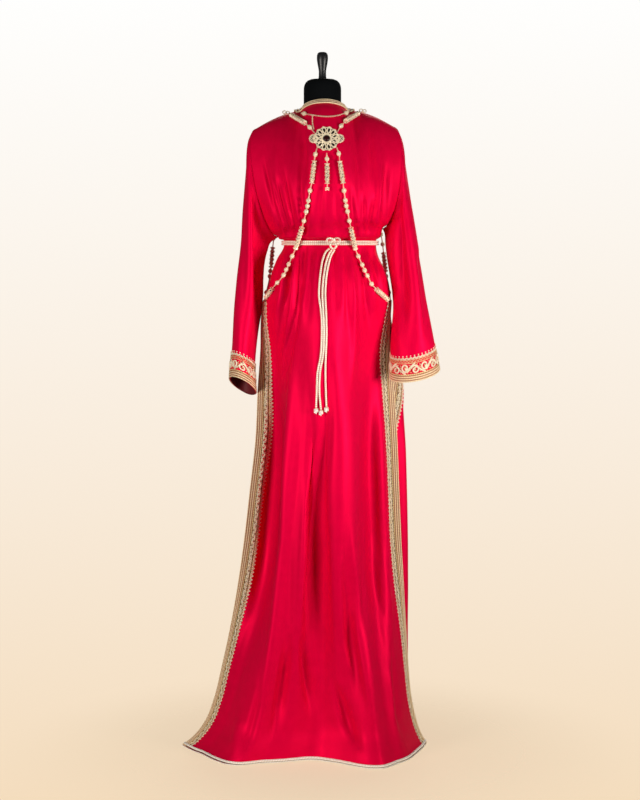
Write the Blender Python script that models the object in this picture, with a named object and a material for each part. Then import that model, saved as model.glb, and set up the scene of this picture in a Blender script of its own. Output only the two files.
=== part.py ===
"""A Moroccan kaftan of red satin on a limbless dress form, seen from behind in the reference.

Metres. +Z is up, +X is to the right when looking at the back of the garment, and +Y is towards its front.
The origin is the middle of the underside of the stand's round base.
"""

import math
from collections import namedtuple

import bmesh
import bpy
import numpy as np
from mathutils import Vector
from mathutils.bvhtree import BVHTree

# Driving sizes
WALL = 0.002            # thickness of the satin with its facing
SEAM = 0.0002           # each piece stops this short of a seam
MITRE = 0.0021          # the inner edge of each wall stops this much sooner
LAY = 0.0006            # gap under whatever lies on the cloth
TRIM_WALL = 0.0018      # thickness of the corded and embroidered bands
TRIM_WIDTH = 0.036      # width of the band along each slit
TRIM_COLUMNS = 3        # strips of cloth under that band
BELT_CORD_R = 0.0027
TAIL_CORD_R = 0.0023
NECK_CORD_R = 0.0025
HEM_CORD_R = 0.0025
HEM_REACH = 0.0023      # from the middle of the hem's cord to the cloth beside one of its flat sides
NECK_R = 0.0515         # neck hole of the kaftan
BELT_TOP = 1.2796
BELT_BOTTOM = 1.2658
SLIT_TOP = 1.0949
FLOOR_HEM = 0.0040      # the outer face of the hem, where it lies on the floor
BACK_COLUMNS = 34
FRONT_COLUMNS = 12
ARM_ROWS = 8            # rows of cloth between shoulder and underarm
BODY_Y = -0.025         # the body stands this far behind the pole of the stand
FULL_TURN = 2 * math.pi

Point = namedtuple("Point", "x y z")
SHOULDER = {"left": Point(-0.167, 0.0, 1.5530), "right": Point(0.170, 0.0, 1.5580)}
SHOULDER_HUMP = {"left": 0.007, "right": 0.009}
UNDERARM = {"left": Point(-0.1135, 0.0, 1.2866), "right": Point(0.1440, 0.0, 1.3080)}
ARMHOLE_DEPTH = 0.060   # half the depth of the armhole, back to front
ARMHOLE_BULGE = 0.030   # how far the armhole seam bows outwards
NECK_SIDE_Z = 1.5985
NECK_BACK_RISE = 0.020
NECK_FRONT_DROP = 0.048
NECK_BACK_Y = -0.053
NECK_FRONT_Y = 0.070
BACK_BULGE = 0.002      # fullness of the back and of the fronts above the belt
FRONT_BULGE = 0.012
NECK_SHARE = 0.36       # share of the shoulder line, armhole to armhole, taken by the back neck

# Cross-sections of the skirt's back: side edges, depth behind them, and how bell-like the curve is
BackSection = namedtuple("BackSection", "z left_x left_y right_x right_y depth bell")
BACK_SECTIONS = [
    BackSection(BELT_TOP, -0.0989, 0.000, 0.1283, 0.000, 0.0850, 0.00),
    BackSection(BELT_BOTTOM, -0.0989, 0.000, 0.1283, 0.000, 0.0850, 0.00),
    BackSection(1.2357, -0.1148, 0.000, 0.1353, 0.000, 0.0970, 0.00),
    BackSection(1.2062, -0.1272, 0.000, 0.1503, 0.000, 0.1090, 0.05),
    BackSection(1.1617, -0.1397, 0.000, 0.1623, 0.000, 0.1210, 0.15),
    BackSection(1.1321, -0.1487, 0.000, 0.1653, 0.000, 0.1260, 0.25),
    BackSection(SLIT_TOP, -0.1537, 0.000, 0.1635, 0.000, 0.1310, 0.40),
    BackSection(1.0081, -0.1564, 0.000, 0.1627, 0.000, 0.1360, 0.70),
    BackSection(0.9135, -0.1641, 0.000, 0.1730, 0.000, 0.1380, 0.85),
    BackSection(0.8036, -0.1694, 0.000, 0.1813, 0.002, 0.1400, 0.90),
    BackSection(0.6329, -0.1884, 0.003, 0.1889, 0.006, 0.1430, 0.90),
    BackSection(0.4611, -0.2095, 0.006, 0.1970, 0.012, 0.1460, 0.88),
    BackSection(0.3290, -0.2311, 0.010, 0.2046, 0.018, 0.1490, 0.85),
    BackSection(0.2270, -0.2526, 0.014, 0.2110, 0.025, 0.1520, 0.82),
    BackSection(0.1452, -0.2721, 0.017, 0.2179, 0.032, 0.1560, 0.80),
    BackSection(0.0887, -0.2885, 0.019, 0.2267, 0.038, 0.1620, 0.78),
    BackSection(0.0456, -0.3140, 0.021, 0.2395, 0.043, 0.1700, 0.76),
    BackSection(0.0178, -0.3384, 0.023, 0.2507, 0.047, 0.1800, 0.74),
    BackSection(FLOOR_HEM, -0.3587, 0.025, 0.2609, 0.050, 0.1900, 0.72),
]

# The trailing hem on the floor, from its left corner (-1) to its right one (1): how far back it lies
HemPoint = namedtuple("HemPoint", "across y")
HEM_OUTLINE = [
    HemPoint(-1.00, 0.023), HemPoint(-0.91, -0.032), HemPoint(-0.78, -0.102), HemPoint(-0.63, -0.156),
    HemPoint(-0.54, -0.171), HemPoint(-0.42, -0.148), HemPoint(-0.21, -0.125), HemPoint(0.00, -0.117),
    HemPoint(0.14, -0.110), HemPoint(0.28, -0.150), HemPoint(0.42, -0.185), HemPoint(0.57, -0.207),
    HemPoint(0.66, -0.203), HemPoint(0.76, -0.160), HemPoint(0.86, -0.098), HemPoint(0.96, -0.010),
    HemPoint(1.00, 0.050),
]
HEM_SWEEP_FROM = 0.55   # below this height the cloth turns into the hem's outline

# Cross-sections of the skirt's fronts: widest points, depth, and how far each edge curls behind the side
FrontSection = namedtuple("FrontSection", "z left_x right_x depth side_y left_curl right_curl")
FRONT_SECTIONS = [
    FrontSection(BELT_TOP, -0.0989, 0.1283, 0.0820, 0.000, 0, 0),
    FrontSection(BELT_BOTTOM, -0.0989, 0.1283, 0.0820, 0.000, 0, 0),
    FrontSection(1.2357, -0.1148, 0.1353, 0.0920, 0.000, 0, 0),
    FrontSection(1.2062, -0.1272, 0.1503, 0.1010, 0.000, 0, 0),
    FrontSection(1.1617, -0.1397, 0.1623, 0.1110, 0.000, 0, 0),
    FrontSection(1.1321, -0.1487, 0.1653, 0.1160, 0.000, 0, 0),
    FrontSection(SLIT_TOP, -0.1537, 0.1635, 0.1210, 0.000, 0, 0),
    FrontSection(1.0081, -0.1549, 0.1836, 0.1270, 0.022, 6, 14),
    FrontSection(0.9135, -0.1562, 0.1990, 0.1310, 0.036, 10, 34),
    FrontSection(0.8036, -0.1615, 0.2055, 0.1350, 0.042, 12, 46),
    FrontSection(0.6329, -0.1779, 0.2160, 0.1400, 0.046, 12, 50),
    FrontSection(0.4611, -0.1965, 0.2220, 0.1470, 0.050, 12, 52),
    FrontSection(0.3290, -0.2130, 0.2215, 0.1530, 0.054, 12, 52),
    FrontSection(0.2270, -0.2295, 0.2220, 0.1590, 0.060, 12, 52),
    FrontSection(0.1452, -0.2419, 0.2225, 0.1640, 0.066, 12, 52),
    FrontSection(0.0887, -0.2502, 0.2225, 0.1680, 0.070, 12, 52),
    FrontSection(0.0456, -0.2564, 0.2245, 0.1720, 0.072, 12, 50),
    FrontSection(0.0178, -0.2606, 0.2285, 0.1750, 0.074, 12, 50),
    FrontSection(FLOOR_HEM, -0.2627, 0.2295, 0.1770, 0.075, 12, 50),
]
FRONT_MIDDLE = 0.006    # the centre front lies this far to the right of the neck's middle
CURL_DEPTH = 0.050      # how deep the curled edge of a front reaches behind its widest point
SKIRT_ROWS = [1.2357, 1.2062, 1.1617, 1.1321, SLIT_TOP, 1.0081, 0.9100, 0.7900, 0.6600, 0.5300, 0.4100,
              0.3000, 0.2050, 0.1250, 0.0700, 0.0350, 0.0140, FLOOR_HEM]
SLIT_ROW = ARM_ROWS + 3 + SKIRT_ROWS.index(SLIT_TOP)

# Gathers that the belt draws in: place along the panel at the belt, above it and below it, and their reach
Gather = namedtuple("Gather", "at_belt above z_above below z_below height")
BACK_GATHERS = [
    Gather(-0.90, -0.84, 1.42, -0.86, 1.10, 0.0080),
    Gather(-0.74, -0.72, 1.48, -0.72, 1.02, 0.0095),
    Gather(-0.57, -0.58, 1.53, -0.54, 0.95, 0.0095),
    Gather(-0.38, -0.42, 1.54, -0.36, 0.98, 0.0075),
    Gather(-0.16, -0.16, 1.40, -0.18, 1.08, 0.0040),
    Gather(0.22, 0.20, 1.40, 0.24, 1.08, 0.0040),
    Gather(0.46, 0.50, 1.44, 0.46, 1.02, 0.0065),
    Gather(0.64, 0.70, 1.48, 0.62, 0.98, 0.0090),
    Gather(0.79, 0.84, 1.46, 0.77, 1.02, 0.0095),
    Gather(0.92, 0.94, 1.42, 0.90, 1.10, 0.0070),
]
FRONT_GATHERS = [
    Gather(0.12, 0.10, 1.40, 0.12, 1.08, 0.0060),
    Gather(0.36, 0.34, 1.46, 0.36, 1.02, 0.0075),
    Gather(0.60, 0.58, 1.44, 0.61, 0.98, 0.0070),
    Gather(0.82, 0.82, 1.40, 0.82, 1.06, 0.0050),
]
GATHER_WIDTH = 0.070    # in shares of half the panel
BELT_PINCH = 0.10       # what the belt leaves of a gather's height

# Long folds of the skirt: where they start and end along the panel, their width there, and their height
Fold = namedtuple("Fold", "z_top across_top across_foot width_top width_foot height")
BACK_FOLDS = [
    Fold(1.06, -0.34, -0.36, 0.09, 0.13, 0.022),
    Fold(0.95, -0.17, -0.13, 0.05, 0.06, 0.010),
    Fold(1.12, 0.00, 0.02, 0.06, 0.09, -0.028),
    Fold(1.05, 0.18, 0.38, 0.11, 0.12, 0.018),
    Fold(0.95, 0.39, 0.20, 0.06, 0.06, -0.014),
    Fold(0.98, 0.53, 0.62, 0.07, 0.08, 0.016),
    Fold(1.00, -0.54, -0.62, 0.07, 0.07, -0.016),
    Fold(0.60, 0.40, 0.52, 0.05, 0.06, -0.012),
]
FRONT_FOLDS = [
    Fold(1.05, 0.18, 0.16, 0.07, 0.08, 0.010),
    Fold(1.10, 0.38, 0.36, 0.06, 0.08, -0.014),
    Fold(1.00, 0.58, 0.56, 0.07, 0.09, 0.015),
    Fold(1.08, 0.78, 0.77, 0.06, 0.07, -0.010),
]
YOKE_FOLDS = [
    Fold(1.57, -0.62, -0.66, 0.07, 0.05, 0.006),
    Fold(1.56, -0.24, -0.36, 0.035, 0.03, -0.006),
    Fold(1.56, 0.60, 0.72, 0.07, 0.05, 0.005),
]

# Sleeves: the outer and inner lines of each, and the middle and half of its depth
SleeveRing = namedtuple("SleeveRing", "outer_x outer_z inner_x inner_z middle_y half_depth far_drop")
SLEEVE_RINGS = {
    "left": [
        SleeveRing(-0.1782, 1.5328, -0.1276, 1.2732, 0.000, 0.060, 0.000),
        SleeveRing(-0.1842, 1.4782, -0.1385, 1.2466, 0.000, 0.060, 0.001),
        SleeveRing(-0.1913, 1.4136, -0.1455, 1.2160, 0.000, 0.061, 0.002),
        SleeveRing(-0.1985, 1.3489, -0.1486, 1.1815, -0.001, 0.062, 0.003),
        SleeveRing(-0.2047, 1.2702, -0.1501, 1.1419, -0.003, 0.063, 0.005),
        SleeveRing(-0.2108, 1.2012, -0.1547, 1.1024, -0.005, 0.064, 0.008),
        SleeveRing(-0.2170, 1.1321, -0.1613, 1.0627, -0.008, 0.065, 0.011),
        SleeveRing(-0.2232, 1.0647, -0.1668, 1.0200, -0.010, 0.066, 0.014),
        SleeveRing(-0.2284, 1.0051, -0.1704, 0.9763, -0.012, 0.066, 0.017),
        SleeveRing(-0.2320, 0.9693, -0.1710, 0.9414, -0.012, 0.066, 0.019),
        SleeveRing(-0.2337, 0.9355, -0.1691, 0.9035, -0.012, 0.066, 0.021),
    ],
    "right": [
        SleeveRing(0.1827, 1.5348, 0.1480, 1.2948, 0.000, 0.060, 0.000),
        SleeveRing(0.1928, 1.4782, 0.1500, 1.2653, -0.003, 0.060, -0.001),
        SleeveRing(0.2039, 1.4136, 0.1535, 1.2308, -0.007, 0.059, -0.002),
        SleeveRing(0.2150, 1.3489, 0.1600, 1.1933, -0.012, 0.058, -0.003),
        SleeveRing(0.2281, 1.2702, 0.1675, 1.1518, -0.018, 0.056, -0.005),
        SleeveRing(0.2403, 1.2012, 0.1700, 1.1123, -0.026, 0.054, -0.007),
        SleeveRing(0.2515, 1.1321, 0.1670, 1.0726, -0.034, 0.052, -0.009),
        SleeveRing(0.2627, 1.0746, 0.1636, 1.0379, -0.041, 0.050, -0.011),
        SleeveRing(0.2719, 1.0260, 0.1628, 1.0031, -0.046, 0.049, -0.013),
        SleeveRing(0.2780, 0.9942, 0.1629, 0.9733, -0.049, 0.048, -0.015),
        SleeveRing(0.2831, 0.9633, 0.1625, 0.9414, -0.050, 0.047, -0.016),
    ],
}
SLEEVE_FOLD_HEIGHT = 0.0045
CUFF_ROWS = 2           # the embroidered cuff covers the last rows of the sleeve

# Materials: colour, roughness, metallic
Finish = namedtuple("Finish", "colour roughness metallic")
FINISHES = {
    "red_satin": Finish((0.72, 0.005, 0.045), 0.38, 0.0),
    "gold_trim": Finish((0.78, 0.58, 0.33), 0.42, 0.6),
    "cream_cord": Finish((0.86, 0.70, 0.48), 0.50, 0.3),
    "gilt_metal": Finish((0.85, 0.66, 0.36), 0.28, 1.0),
    "dark_stone": Finish((0.05, 0.004, 0.005), 0.10, 0.0),
    "black_jersey": Finish((0.010, 0.011, 0.013), 0.80, 0.0),
    "black_metal": Finish((0.015, 0.016, 0.018), 0.45, 0.2),
}


def clear_scene():
    for obj in list(bpy.data.objects):
        bpy.data.objects.remove(obj)


def finish_material(name):
    material = bpy.data.materials.get(name)
    if material:
        return material
    material = bpy.data.materials.new(name)
    material.use_nodes = True
    shader = material.node_tree.nodes["Principled BSDF"]
    finish = FINISHES[name]
    shader.inputs["Base Color"].default_value = (*finish.colour, 1)
    shader.inputs["Roughness"].default_value = finish.roughness
    shader.inputs["Metallic"].default_value = finish.metallic
    return material


def add_part(name, data, material):
    data.materials.append(finish_material(material))
    obj = bpy.data.objects.new(name, data)
    obj.location.y = BODY_Y
    PARTS.objects.link(obj)
    return obj


def ease(t):
    t = np.clip(t, 0.0, 1.0)
    return t * t * (3 - 2 * t)


def read_table(rows, key):
    """The row of a table at any value of its first column, on a smooth curve through its rows."""
    table = np.array(rows, float)
    keys = table[:, 0] * np.sign(table[-1, 0] - table[0, 0])
    key = key * np.sign(table[-1, 0] - table[0, 0])
    slopes = np.gradient(table, keys, axis=0)
    i = int(np.clip(np.searchsorted(keys, key) - 1, 0, len(keys) - 2))
    h = keys[i + 1] - keys[i]
    t = np.clip((key - keys[i]) / h, 0, 1)
    row = ((1 + 2 * t) * (1 - t) ** 2 * table[i] + t * (1 - t) ** 2 * h * slopes[i]
           + t * t * (3 - 2 * t) * table[i + 1] + t * t * (t - 1) * h * slopes[i + 1])
    return type(rows[0])(*row)


def bump(distance, width):
    return np.exp(-(distance / width) ** 2)


def gather_height(gathers, across, z):
    """How far the belt's gathers stand out at a place on the panel."""
    total = np.zeros_like(across)
    for g in gathers:
        if z >= BELT_TOP:
            t = (z - BELT_TOP) / (g.z_above - BELT_TOP)
            place = g.at_belt + (g.above - g.at_belt) * ease(t)
        else:
            t = (BELT_BOTTOM - z) / (BELT_BOTTOM - g.z_below)
            place = g.at_belt + (g.below - g.at_belt) * ease(t)
        t = max(t, 0.0)
        reach = BELT_PINCH + (1 - BELT_PINCH) * ease(t * 4)
        fade = 1 - ease(t)
        total += g.height * reach * fade * bump(across - place, GATHER_WIDTH * (1 + 0.8 * min(t, 1)))
    return total


def fold_height(folds, across, z, z_foot):
    """How far the long folds stand out at a place on the panel."""
    total = np.zeros_like(across)
    for f in folds:
        t = (f.z_top - z) / (f.z_top - z_foot)
        if t <= 0:
            continue
        place = f.across_top + (f.across_foot - f.across_top) * t
        width = f.width_top + (f.width_foot - f.width_top) * t
        total += f.height * ease(t * 3.0) * bump(across - place, width)
    return total


def spread_evenly(points, shares):
    """Points at these shares of a curve's length."""
    steps = np.linalg.norm(np.diff(points, axis=0), axis=1)
    length = np.concatenate([[0], np.cumsum(steps)])
    return np.stack([np.interp(shares * length[-1], length, points[:, k]) for k in range(3)], axis=1)


def armhole_point(side, turn, facing):
    """A point of the armhole seam: turn 0 at the shoulder, pi at the underarm; facing -1 is the back."""
    top, low = SHOULDER[side], UNDERARM[side]
    outward = -1 if side == "left" else 1
    c, s = math.cos(turn), math.sin(turn)
    x = (top.x + low.x) / 2 + (top.x - low.x) / 2 * c + outward * ARMHOLE_BULGE * s
    z = (top.z + low.z) / 2 + (top.z - low.z) / 2 * c
    return np.array([x, facing * ARMHOLE_DEPTH * s, z])


def neck_arc(angles, back):
    """Points of the neckline; angle 0 is its left side, pi its right, round the back or the front."""
    rise = NECK_BACK_RISE if back else -NECK_FRONT_DROP
    reach = NECK_BACK_Y if back else NECK_FRONT_Y
    places = [-NECK_R * np.cos(angles), reach * np.sin(angles), NECK_SIDE_Z + rise * np.sin(angles)]
    return np.stack(places, axis=1)


def straight(a, b, shares):
    a, b = np.array(a, float), np.array(b, float)
    return a + (b - a) * shares[:, None]


def shoulder_curve(side, count):
    """From the shoulder tip to the side of the neck, a little hollow as satin hangs."""
    neck = (-NECK_R if side == "left" else NECK_R, 0.0, NECK_SIDE_Z)
    t = np.linspace(0, 1, count)
    points = straight(SHOULDER[side], neck, t)
    points[:, 2] += SHOULDER_HUMP[side] * np.sin(math.pi * t)
    return points


def coons(top, low, left, right, v):
    """A row of the patch between four edges, v of the way down."""
    t = np.linspace(0, 1, len(top))[:, None]
    mixed = (1 - v) * top + v * low + (1 - t) * left + t * right
    corners = (1 - t) * (1 - v) * top[0] + t * (1 - v) * top[-1] + (1 - t) * v * low[0] + t * v * low[-1]
    return mixed - corners


SAMPLES = 241


def back_upper_row(v):
    """A row of the back between the shoulder seam (0) and the underarm (1)."""
    n = SAMPLES
    neck = neck_arc(np.linspace(0, math.pi, n), True)
    line = np.concatenate([shoulder_curve("left", n)[:-1], neck, shoulder_curve("right", n)[::-1][1:]])
    half = (1 - NECK_SHARE) / 2
    cuts = np.concatenate([np.linspace(0, half, n)[:-1], np.linspace(half, 1 - half, n),
                           np.linspace(1 - half, 1, n)[1:]])
    t = np.linspace(0, 1, n)
    top = np.stack([np.interp(t, cuts, line[:, k]) for k in range(3)], axis=1)
    across = 2 * t - 1
    a = across * math.pi / 2
    left, right = UNDERARM["left"], UNDERARM["right"]
    low = np.stack([(left.x + right.x) / 2 + (right.x - left.x) / 2 * np.sin(a), -0.112 * np.cos(a),
                    left.z + (right.z - left.z) * t + 0.007 * np.cos(a)], axis=1)
    armholes = [armhole_point(side, math.pi * v, -1) for side in ("left", "right")]
    row = coons(top, low, *armholes, v)
    out = BACK_BULGE * math.sin(math.pi * v ** 0.55) * np.cos(a) ** 0.8
    z = float(row[n // 2, 2])
    edge = 1 - np.abs(across) ** 6
    folds = gather_height(BACK_GATHERS, across, max(z, BELT_TOP)) + fold_height(YOKE_FOLDS, across, z, 1.28)
    out += edge * folds
    row[:, 1] -= out
    row[:, 0] += 0.25 * out * np.sin(a)
    return row


def back_skirt_row(z):
    """A row of the back at or below the belt."""
    s = read_table(BACK_SECTIONS, z)
    across = np.linspace(-1, 1, SAMPLES)
    a = across * math.pi / 2
    place = np.sin(a)
    curve = (1 - s.bell) * np.cos(a) + s.bell * np.cos(math.pi / 2 * place) ** 2
    share = (place + 1) / 2
    y = s.left_y + (s.right_y - s.left_y) * share - s.depth * curve
    sweep = float(ease((HEM_SWEEP_FROM - z) / (HEM_SWEEP_FROM - 0.06)))
    hem = np.array(HEM_OUTLINE)
    trailing = np.interp(place, hem[:, 0], hem[:, 1]) * (0.80 + 0.20 * float(ease(1 - z / 0.10)))
    trailing = np.convolve(np.pad(trailing, 8, mode="edge"), np.ones(17) / 17, mode="valid")
    y = y + (trailing - y) * 0.85 * sweep
    out = gather_height(BACK_GATHERS, across, min(z, BELT_BOTTOM))
    out += fold_height(BACK_FOLDS, across, z, 0.0) * (1 - 0.6 * sweep)
    out *= 1 - np.abs(across) ** 6
    x = (s.left_x + s.right_x) / 2 + (s.right_x - s.left_x) / 2 * place + 0.35 * out * place
    return np.stack([x, y - out, np.full(SAMPLES, z)], axis=1)


def blouse_rows(upper, belt):
    """The roll of cloth that hangs over the belt, and the row that the belt holds."""
    roll = 0.30 * upper + 0.70 * belt
    roll[:, :2] = 0.72 * upper[:, :2] + 0.28 * belt[:, :2]
    return [roll, belt]


def back_rows():
    upper = [back_upper_row(r / ARM_ROWS) for r in range(ARM_ROWS + 1)]
    belt = [back_skirt_row(BELT_TOP), back_skirt_row(BELT_BOTTOM)]
    return upper + blouse_rows(upper[-1], belt[0]) + [belt[1]] + [back_skirt_row(z) for z in SKIRT_ROWS]


def front_upper_row(side, v):
    """A row of one front, from its armhole (0) to the centre front (1), between shoulder and underarm."""
    n = SAMPLES
    sign = -1 if side == "left" else 1
    quarter = neck_arc(np.linspace(0, math.pi / 2, n), False)
    quarter[:, 0] *= -sign
    line = np.concatenate([shoulder_curve(side, n)[:-1], quarter])
    cuts = np.concatenate([np.linspace(0, 0.52, n)[:-1], np.linspace(0.52, 1, n)])
    t = np.linspace(0, 1, n)
    top = np.stack([np.interp(t, cuts, line[:, k]) for k in range(3)], axis=1)
    a = t * math.pi / 2
    arm = UNDERARM[side]
    middle = FRONT_MIDDLE
    low = np.stack([middle + (arm.x - middle) * np.cos(a), 0.108 * np.sin(a),
                    arm.z + (1.298 - arm.z) * np.sin(a)], axis=1)
    centre_z = top[-1, 2] + (1.298 - top[-1, 2]) * v
    centre = np.array([middle * v, NECK_FRONT_Y + 0.038 * v, centre_z])
    row = coons(top, low, armhole_point(side, math.pi * v, 1), centre, v)
    out = FRONT_BULGE * math.sin(math.pi * v ** 0.65) * np.sin(a) ** 0.8
    z = float(row[-1, 2])
    edge = (1 - (1 - t) ** 6) * (1 - t ** 8)
    out += edge * gather_height(FRONT_GATHERS, t, max(z, BELT_TOP))
    row[:, 1] += out
    return row


def front_skirt_row(side, z):
    """A row of one front at or below the belt, from its side edge to the centre front."""
    s = read_table(FRONT_SECTIONS, z)
    widest, curl = (s.left_x, s.left_curl) if side == "left" else (s.right_x, s.right_curl)
    t = np.linspace(0, 1, SAMPLES)
    a = math.radians(-max(curl, 0)) + t * (math.pi / 2 + math.radians(max(curl, 0)))
    depth = np.where(a > 0, s.depth - s.side_y, CURL_DEPTH)
    out = (gather_height(FRONT_GATHERS, t, min(z, BELT_BOTTOM)) + fold_height(FRONT_FOLDS, t, z, 0.0))
    out *= (1 - (1 - t) ** 6) * (1 - t ** 8)
    x = FRONT_MIDDLE + (widest - FRONT_MIDDLE) * np.cos(a)
    y = s.side_y + depth * np.sin(a)
    side_x = -1 if side == "left" else 1
    return np.stack([x + side_x * out * np.cos(a) * 0.8, y + out * np.sin(a), np.full(SAMPLES, z)], axis=1)


def front_rows(side):
    upper = [front_upper_row(side, r / ARM_ROWS) for r in range(ARM_ROWS + 1)]
    belt = [front_skirt_row(side, BELT_TOP), front_skirt_row(side, BELT_BOTTOM)]
    skirt = [front_skirt_row(side, z) for z in SKIRT_ROWS]
    return upper + blouse_rows(upper[-1], belt[0]) + [belt[1]] + skirt


def column_shares(length, first_bands, last_bands, columns):
    """Shares of a row's length for its columns: bands of a trim's width at its edges, then evenly."""
    band = TRIM_WIDTH / TRIM_COLUMNS / length
    first = [band * k for k in range(first_bands)]
    last = [1 - band * k for k in range(last_bands)][::-1]
    start, stop = band * first_bands, 1 - band * last_bands
    inner = columns + 1 - first_bands - last_bands
    return np.array(first + list(np.linspace(start, stop, inner)) + last)


def panel_grid(rows, first_bands, last_bands, columns):
    grid = []
    for row in rows:
        length = np.linalg.norm(np.diff(row, axis=0), axis=1).sum()
        grid.append(spread_evenly(row, column_shares(length, first_bands, last_bands, columns)))
    return np.array(grid)


def sleeve_grid(side):
    """Rings of the sleeve, from armhole to cuff. Columns run from the outer line round the back."""
    count = 2 * ARM_ROWS
    turns = FULL_TURN * np.arange(count) / count
    rings = [[armhole_point(side, min(t, FULL_TURN - t), -1 if t <= math.pi else 1) for t in turns]]
    table = SLEEVE_RINGS[side]
    outward = -1 if side == "left" else 1
    for k, r in enumerate(table):
        far = (k + 1) / len(table)
        bow = ARMHOLE_BULGE * (1 - far) ** 2
        middle = np.array([(r.outer_x + r.inner_x) / 2, r.middle_y, (r.outer_z + r.inner_z) / 2])
        half = np.array([(r.outer_x - r.inner_x) / 2, 0, (r.outer_z - r.inner_z) / 2])
        depth = np.array([0, r.half_depth, -r.far_drop])
        ring = []
        for t in turns:
            wave = SLEEVE_FOLD_HEIGHT * math.sin(math.pi * min(2 * far, 1)) * math.cos(3 * t + 0.6)
            size = 1 + wave / r.half_depth
            bulge = np.array([outward * bow * abs(math.sin(t)), 0, 0])
            ring.append(middle + size * (half * math.cos(t) - depth * math.sin(t)) + bulge)
        rings.append(ring)
    return np.array(rings)


def grid_normals(grid, wraps, outward):
    """Unit normals of a grid of points. outward is a point-wise guess that settles their sign."""
    down = np.gradient(grid, axis=0)
    if wraps:
        wide = np.concatenate([grid[:, -1:], grid, grid[:, :1]], axis=1)
        along = (wide[:, 2:] - wide[:, :-2]) / 2
    else:
        along = np.gradient(grid, axis=1)
    normals = np.cross(along, down)
    normals /= np.maximum(np.linalg.norm(normals, axis=2, keepdims=True), 1e-9)
    if (normals * outward).sum() < 0:
        normals = -normals
    return normals


def draw_in(grid, distance, wraps):
    """The grid with its free edges moved inwards along the cloth."""
    moved = grid.copy()
    edges = [(np.s_[0], np.s_[1]), (np.s_[-1], np.s_[-2])]
    if not wraps:
        edges += [(np.s_[:, 0], np.s_[:, 1]), (np.s_[:, -1], np.s_[:, -2])]
    for edge, inside in edges:
        step = moved[inside] - moved[edge]
        step /= np.maximum(np.linalg.norm(step, axis=-1, keepdims=True), 1e-9)
        moved[edge] = moved[edge] + step * distance
    return moved


def wall_mesh(name, outer, inner, wraps=False):
    """A closed wall between two grids of points."""
    rows, columns = outer.shape[:2]
    bm = bmesh.new()
    layers = [[[bm.verts.new(p) for p in row] for row in grid] for grid in (outer, inner)]
    spans = columns if wraps else columns - 1
    for layer in layers:
        for r in range(rows - 1):
            for c in range(spans):
                a, b = layer[r][c], layer[r][(c + 1) % columns]
                d, e = layer[r + 1][c], layer[r + 1][(c + 1) % columns]
                bm.faces.new((a, b, e))
                bm.faces.new((a, e, d))
    borders = [[(r, c % columns) for c in range(spans + 1)] for r in (0, rows - 1)]
    if not wraps:
        borders += [[(r, c) for r in range(rows)] for c in (0, columns - 1)]
    for border in borders:
        for (r, c), (r2, c2) in zip(border, border[1:]):
            bm.faces.new((layers[0][r][c], layers[0][r2][c2], layers[1][r2][c2], layers[1][r][c]))
    bmesh.ops.recalc_face_normals(bm, faces=bm.faces)
    if bm.calc_volume(signed=True) < 0:
        bmesh.ops.reverse_faces(bm, faces=bm.faces)
    mesh = bpy.data.meshes.new(name)
    bm.to_mesh(mesh)
    bm.free()
    mesh.shade_smooth()
    return mesh


def cloth_piece(name, grid, normals, wraps=False):
    outer = draw_in(grid, SEAM, wraps)
    inner = draw_in(grid - normals * WALL, MITRE, wraps)
    return add_part(name, wall_mesh(name, outer, inner, wraps), "red_satin")


def band_on(name, grid, normals, wraps=False, inset=0.0006):
    """A trim made from the points of the panel that it lies on, moved out."""
    under = draw_in(grid + normals * LAY, inset, wraps)
    over = draw_in(grid + normals * (LAY + TRIM_WALL), inset, wraps)
    return add_part(name, wall_mesh(name, over, under, wraps), "gold_trim")


def smooth_route(points, step):
    """A smooth curve through a route's own points, as points about a step apart."""
    points = np.array(points, float)
    gaps = np.linalg.norm(np.diff(points, axis=0), axis=1)
    keys = np.concatenate([[0], np.cumsum(gaps)])
    slopes = np.gradient(points, keys, axis=0)
    count = max(2, round(keys[-1] / step))
    route = []
    for key in np.linspace(0, keys[-1], count + 1):
        i = int(np.clip(np.searchsorted(keys, key) - 1, 0, len(keys) - 2))
        h = keys[i + 1] - keys[i]
        t = (key - keys[i]) / h
        route.append((1 + 2 * t) * (1 - t) ** 2 * points[i] + t * (1 - t) ** 2 * h * slopes[i]
                     + t * t * (3 - 2 * t) * points[i + 1] + t * t * (t - 1) * h * slopes[i + 1])
    return np.array(route)


def tube(name, points, radius, material, closed=False, sides=1, radii=None):
    """A round cord or string of beads along these points, as a bevelled curve."""
    curve = bpy.data.curves.new(name, "CURVE")
    curve.dimensions = "3D"
    curve.bevel_depth = radius
    curve.bevel_resolution = sides
    curve.use_fill_caps = not closed
    spline = curve.splines.new("POLY")
    spline.points.add(len(points) - 1)
    for k, p in enumerate(points):
        spline.points[k].co = (*p, 1)
        spline.points[k].radius = 1 if radii is None else radii[k] / radius
    spline.use_cyclic_u = closed
    return add_part(name, curve, material)


def solid_tree(objects):
    """A search tree over the built shapes, for laying things on them."""
    bpy.context.view_layer.update()
    graph = bpy.context.evaluated_depsgraph_get()
    verts, faces = [], []
    for obj in objects:
        mesh = obj.evaluated_get(graph).to_mesh()
        start = len(verts)
        verts += [v.co.copy() for v in mesh.vertices]
        faces += [[start + i for i in p.vertices] for p in mesh.polygons]
    return BVHTree.FromPolygons(verts, faces)


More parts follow.
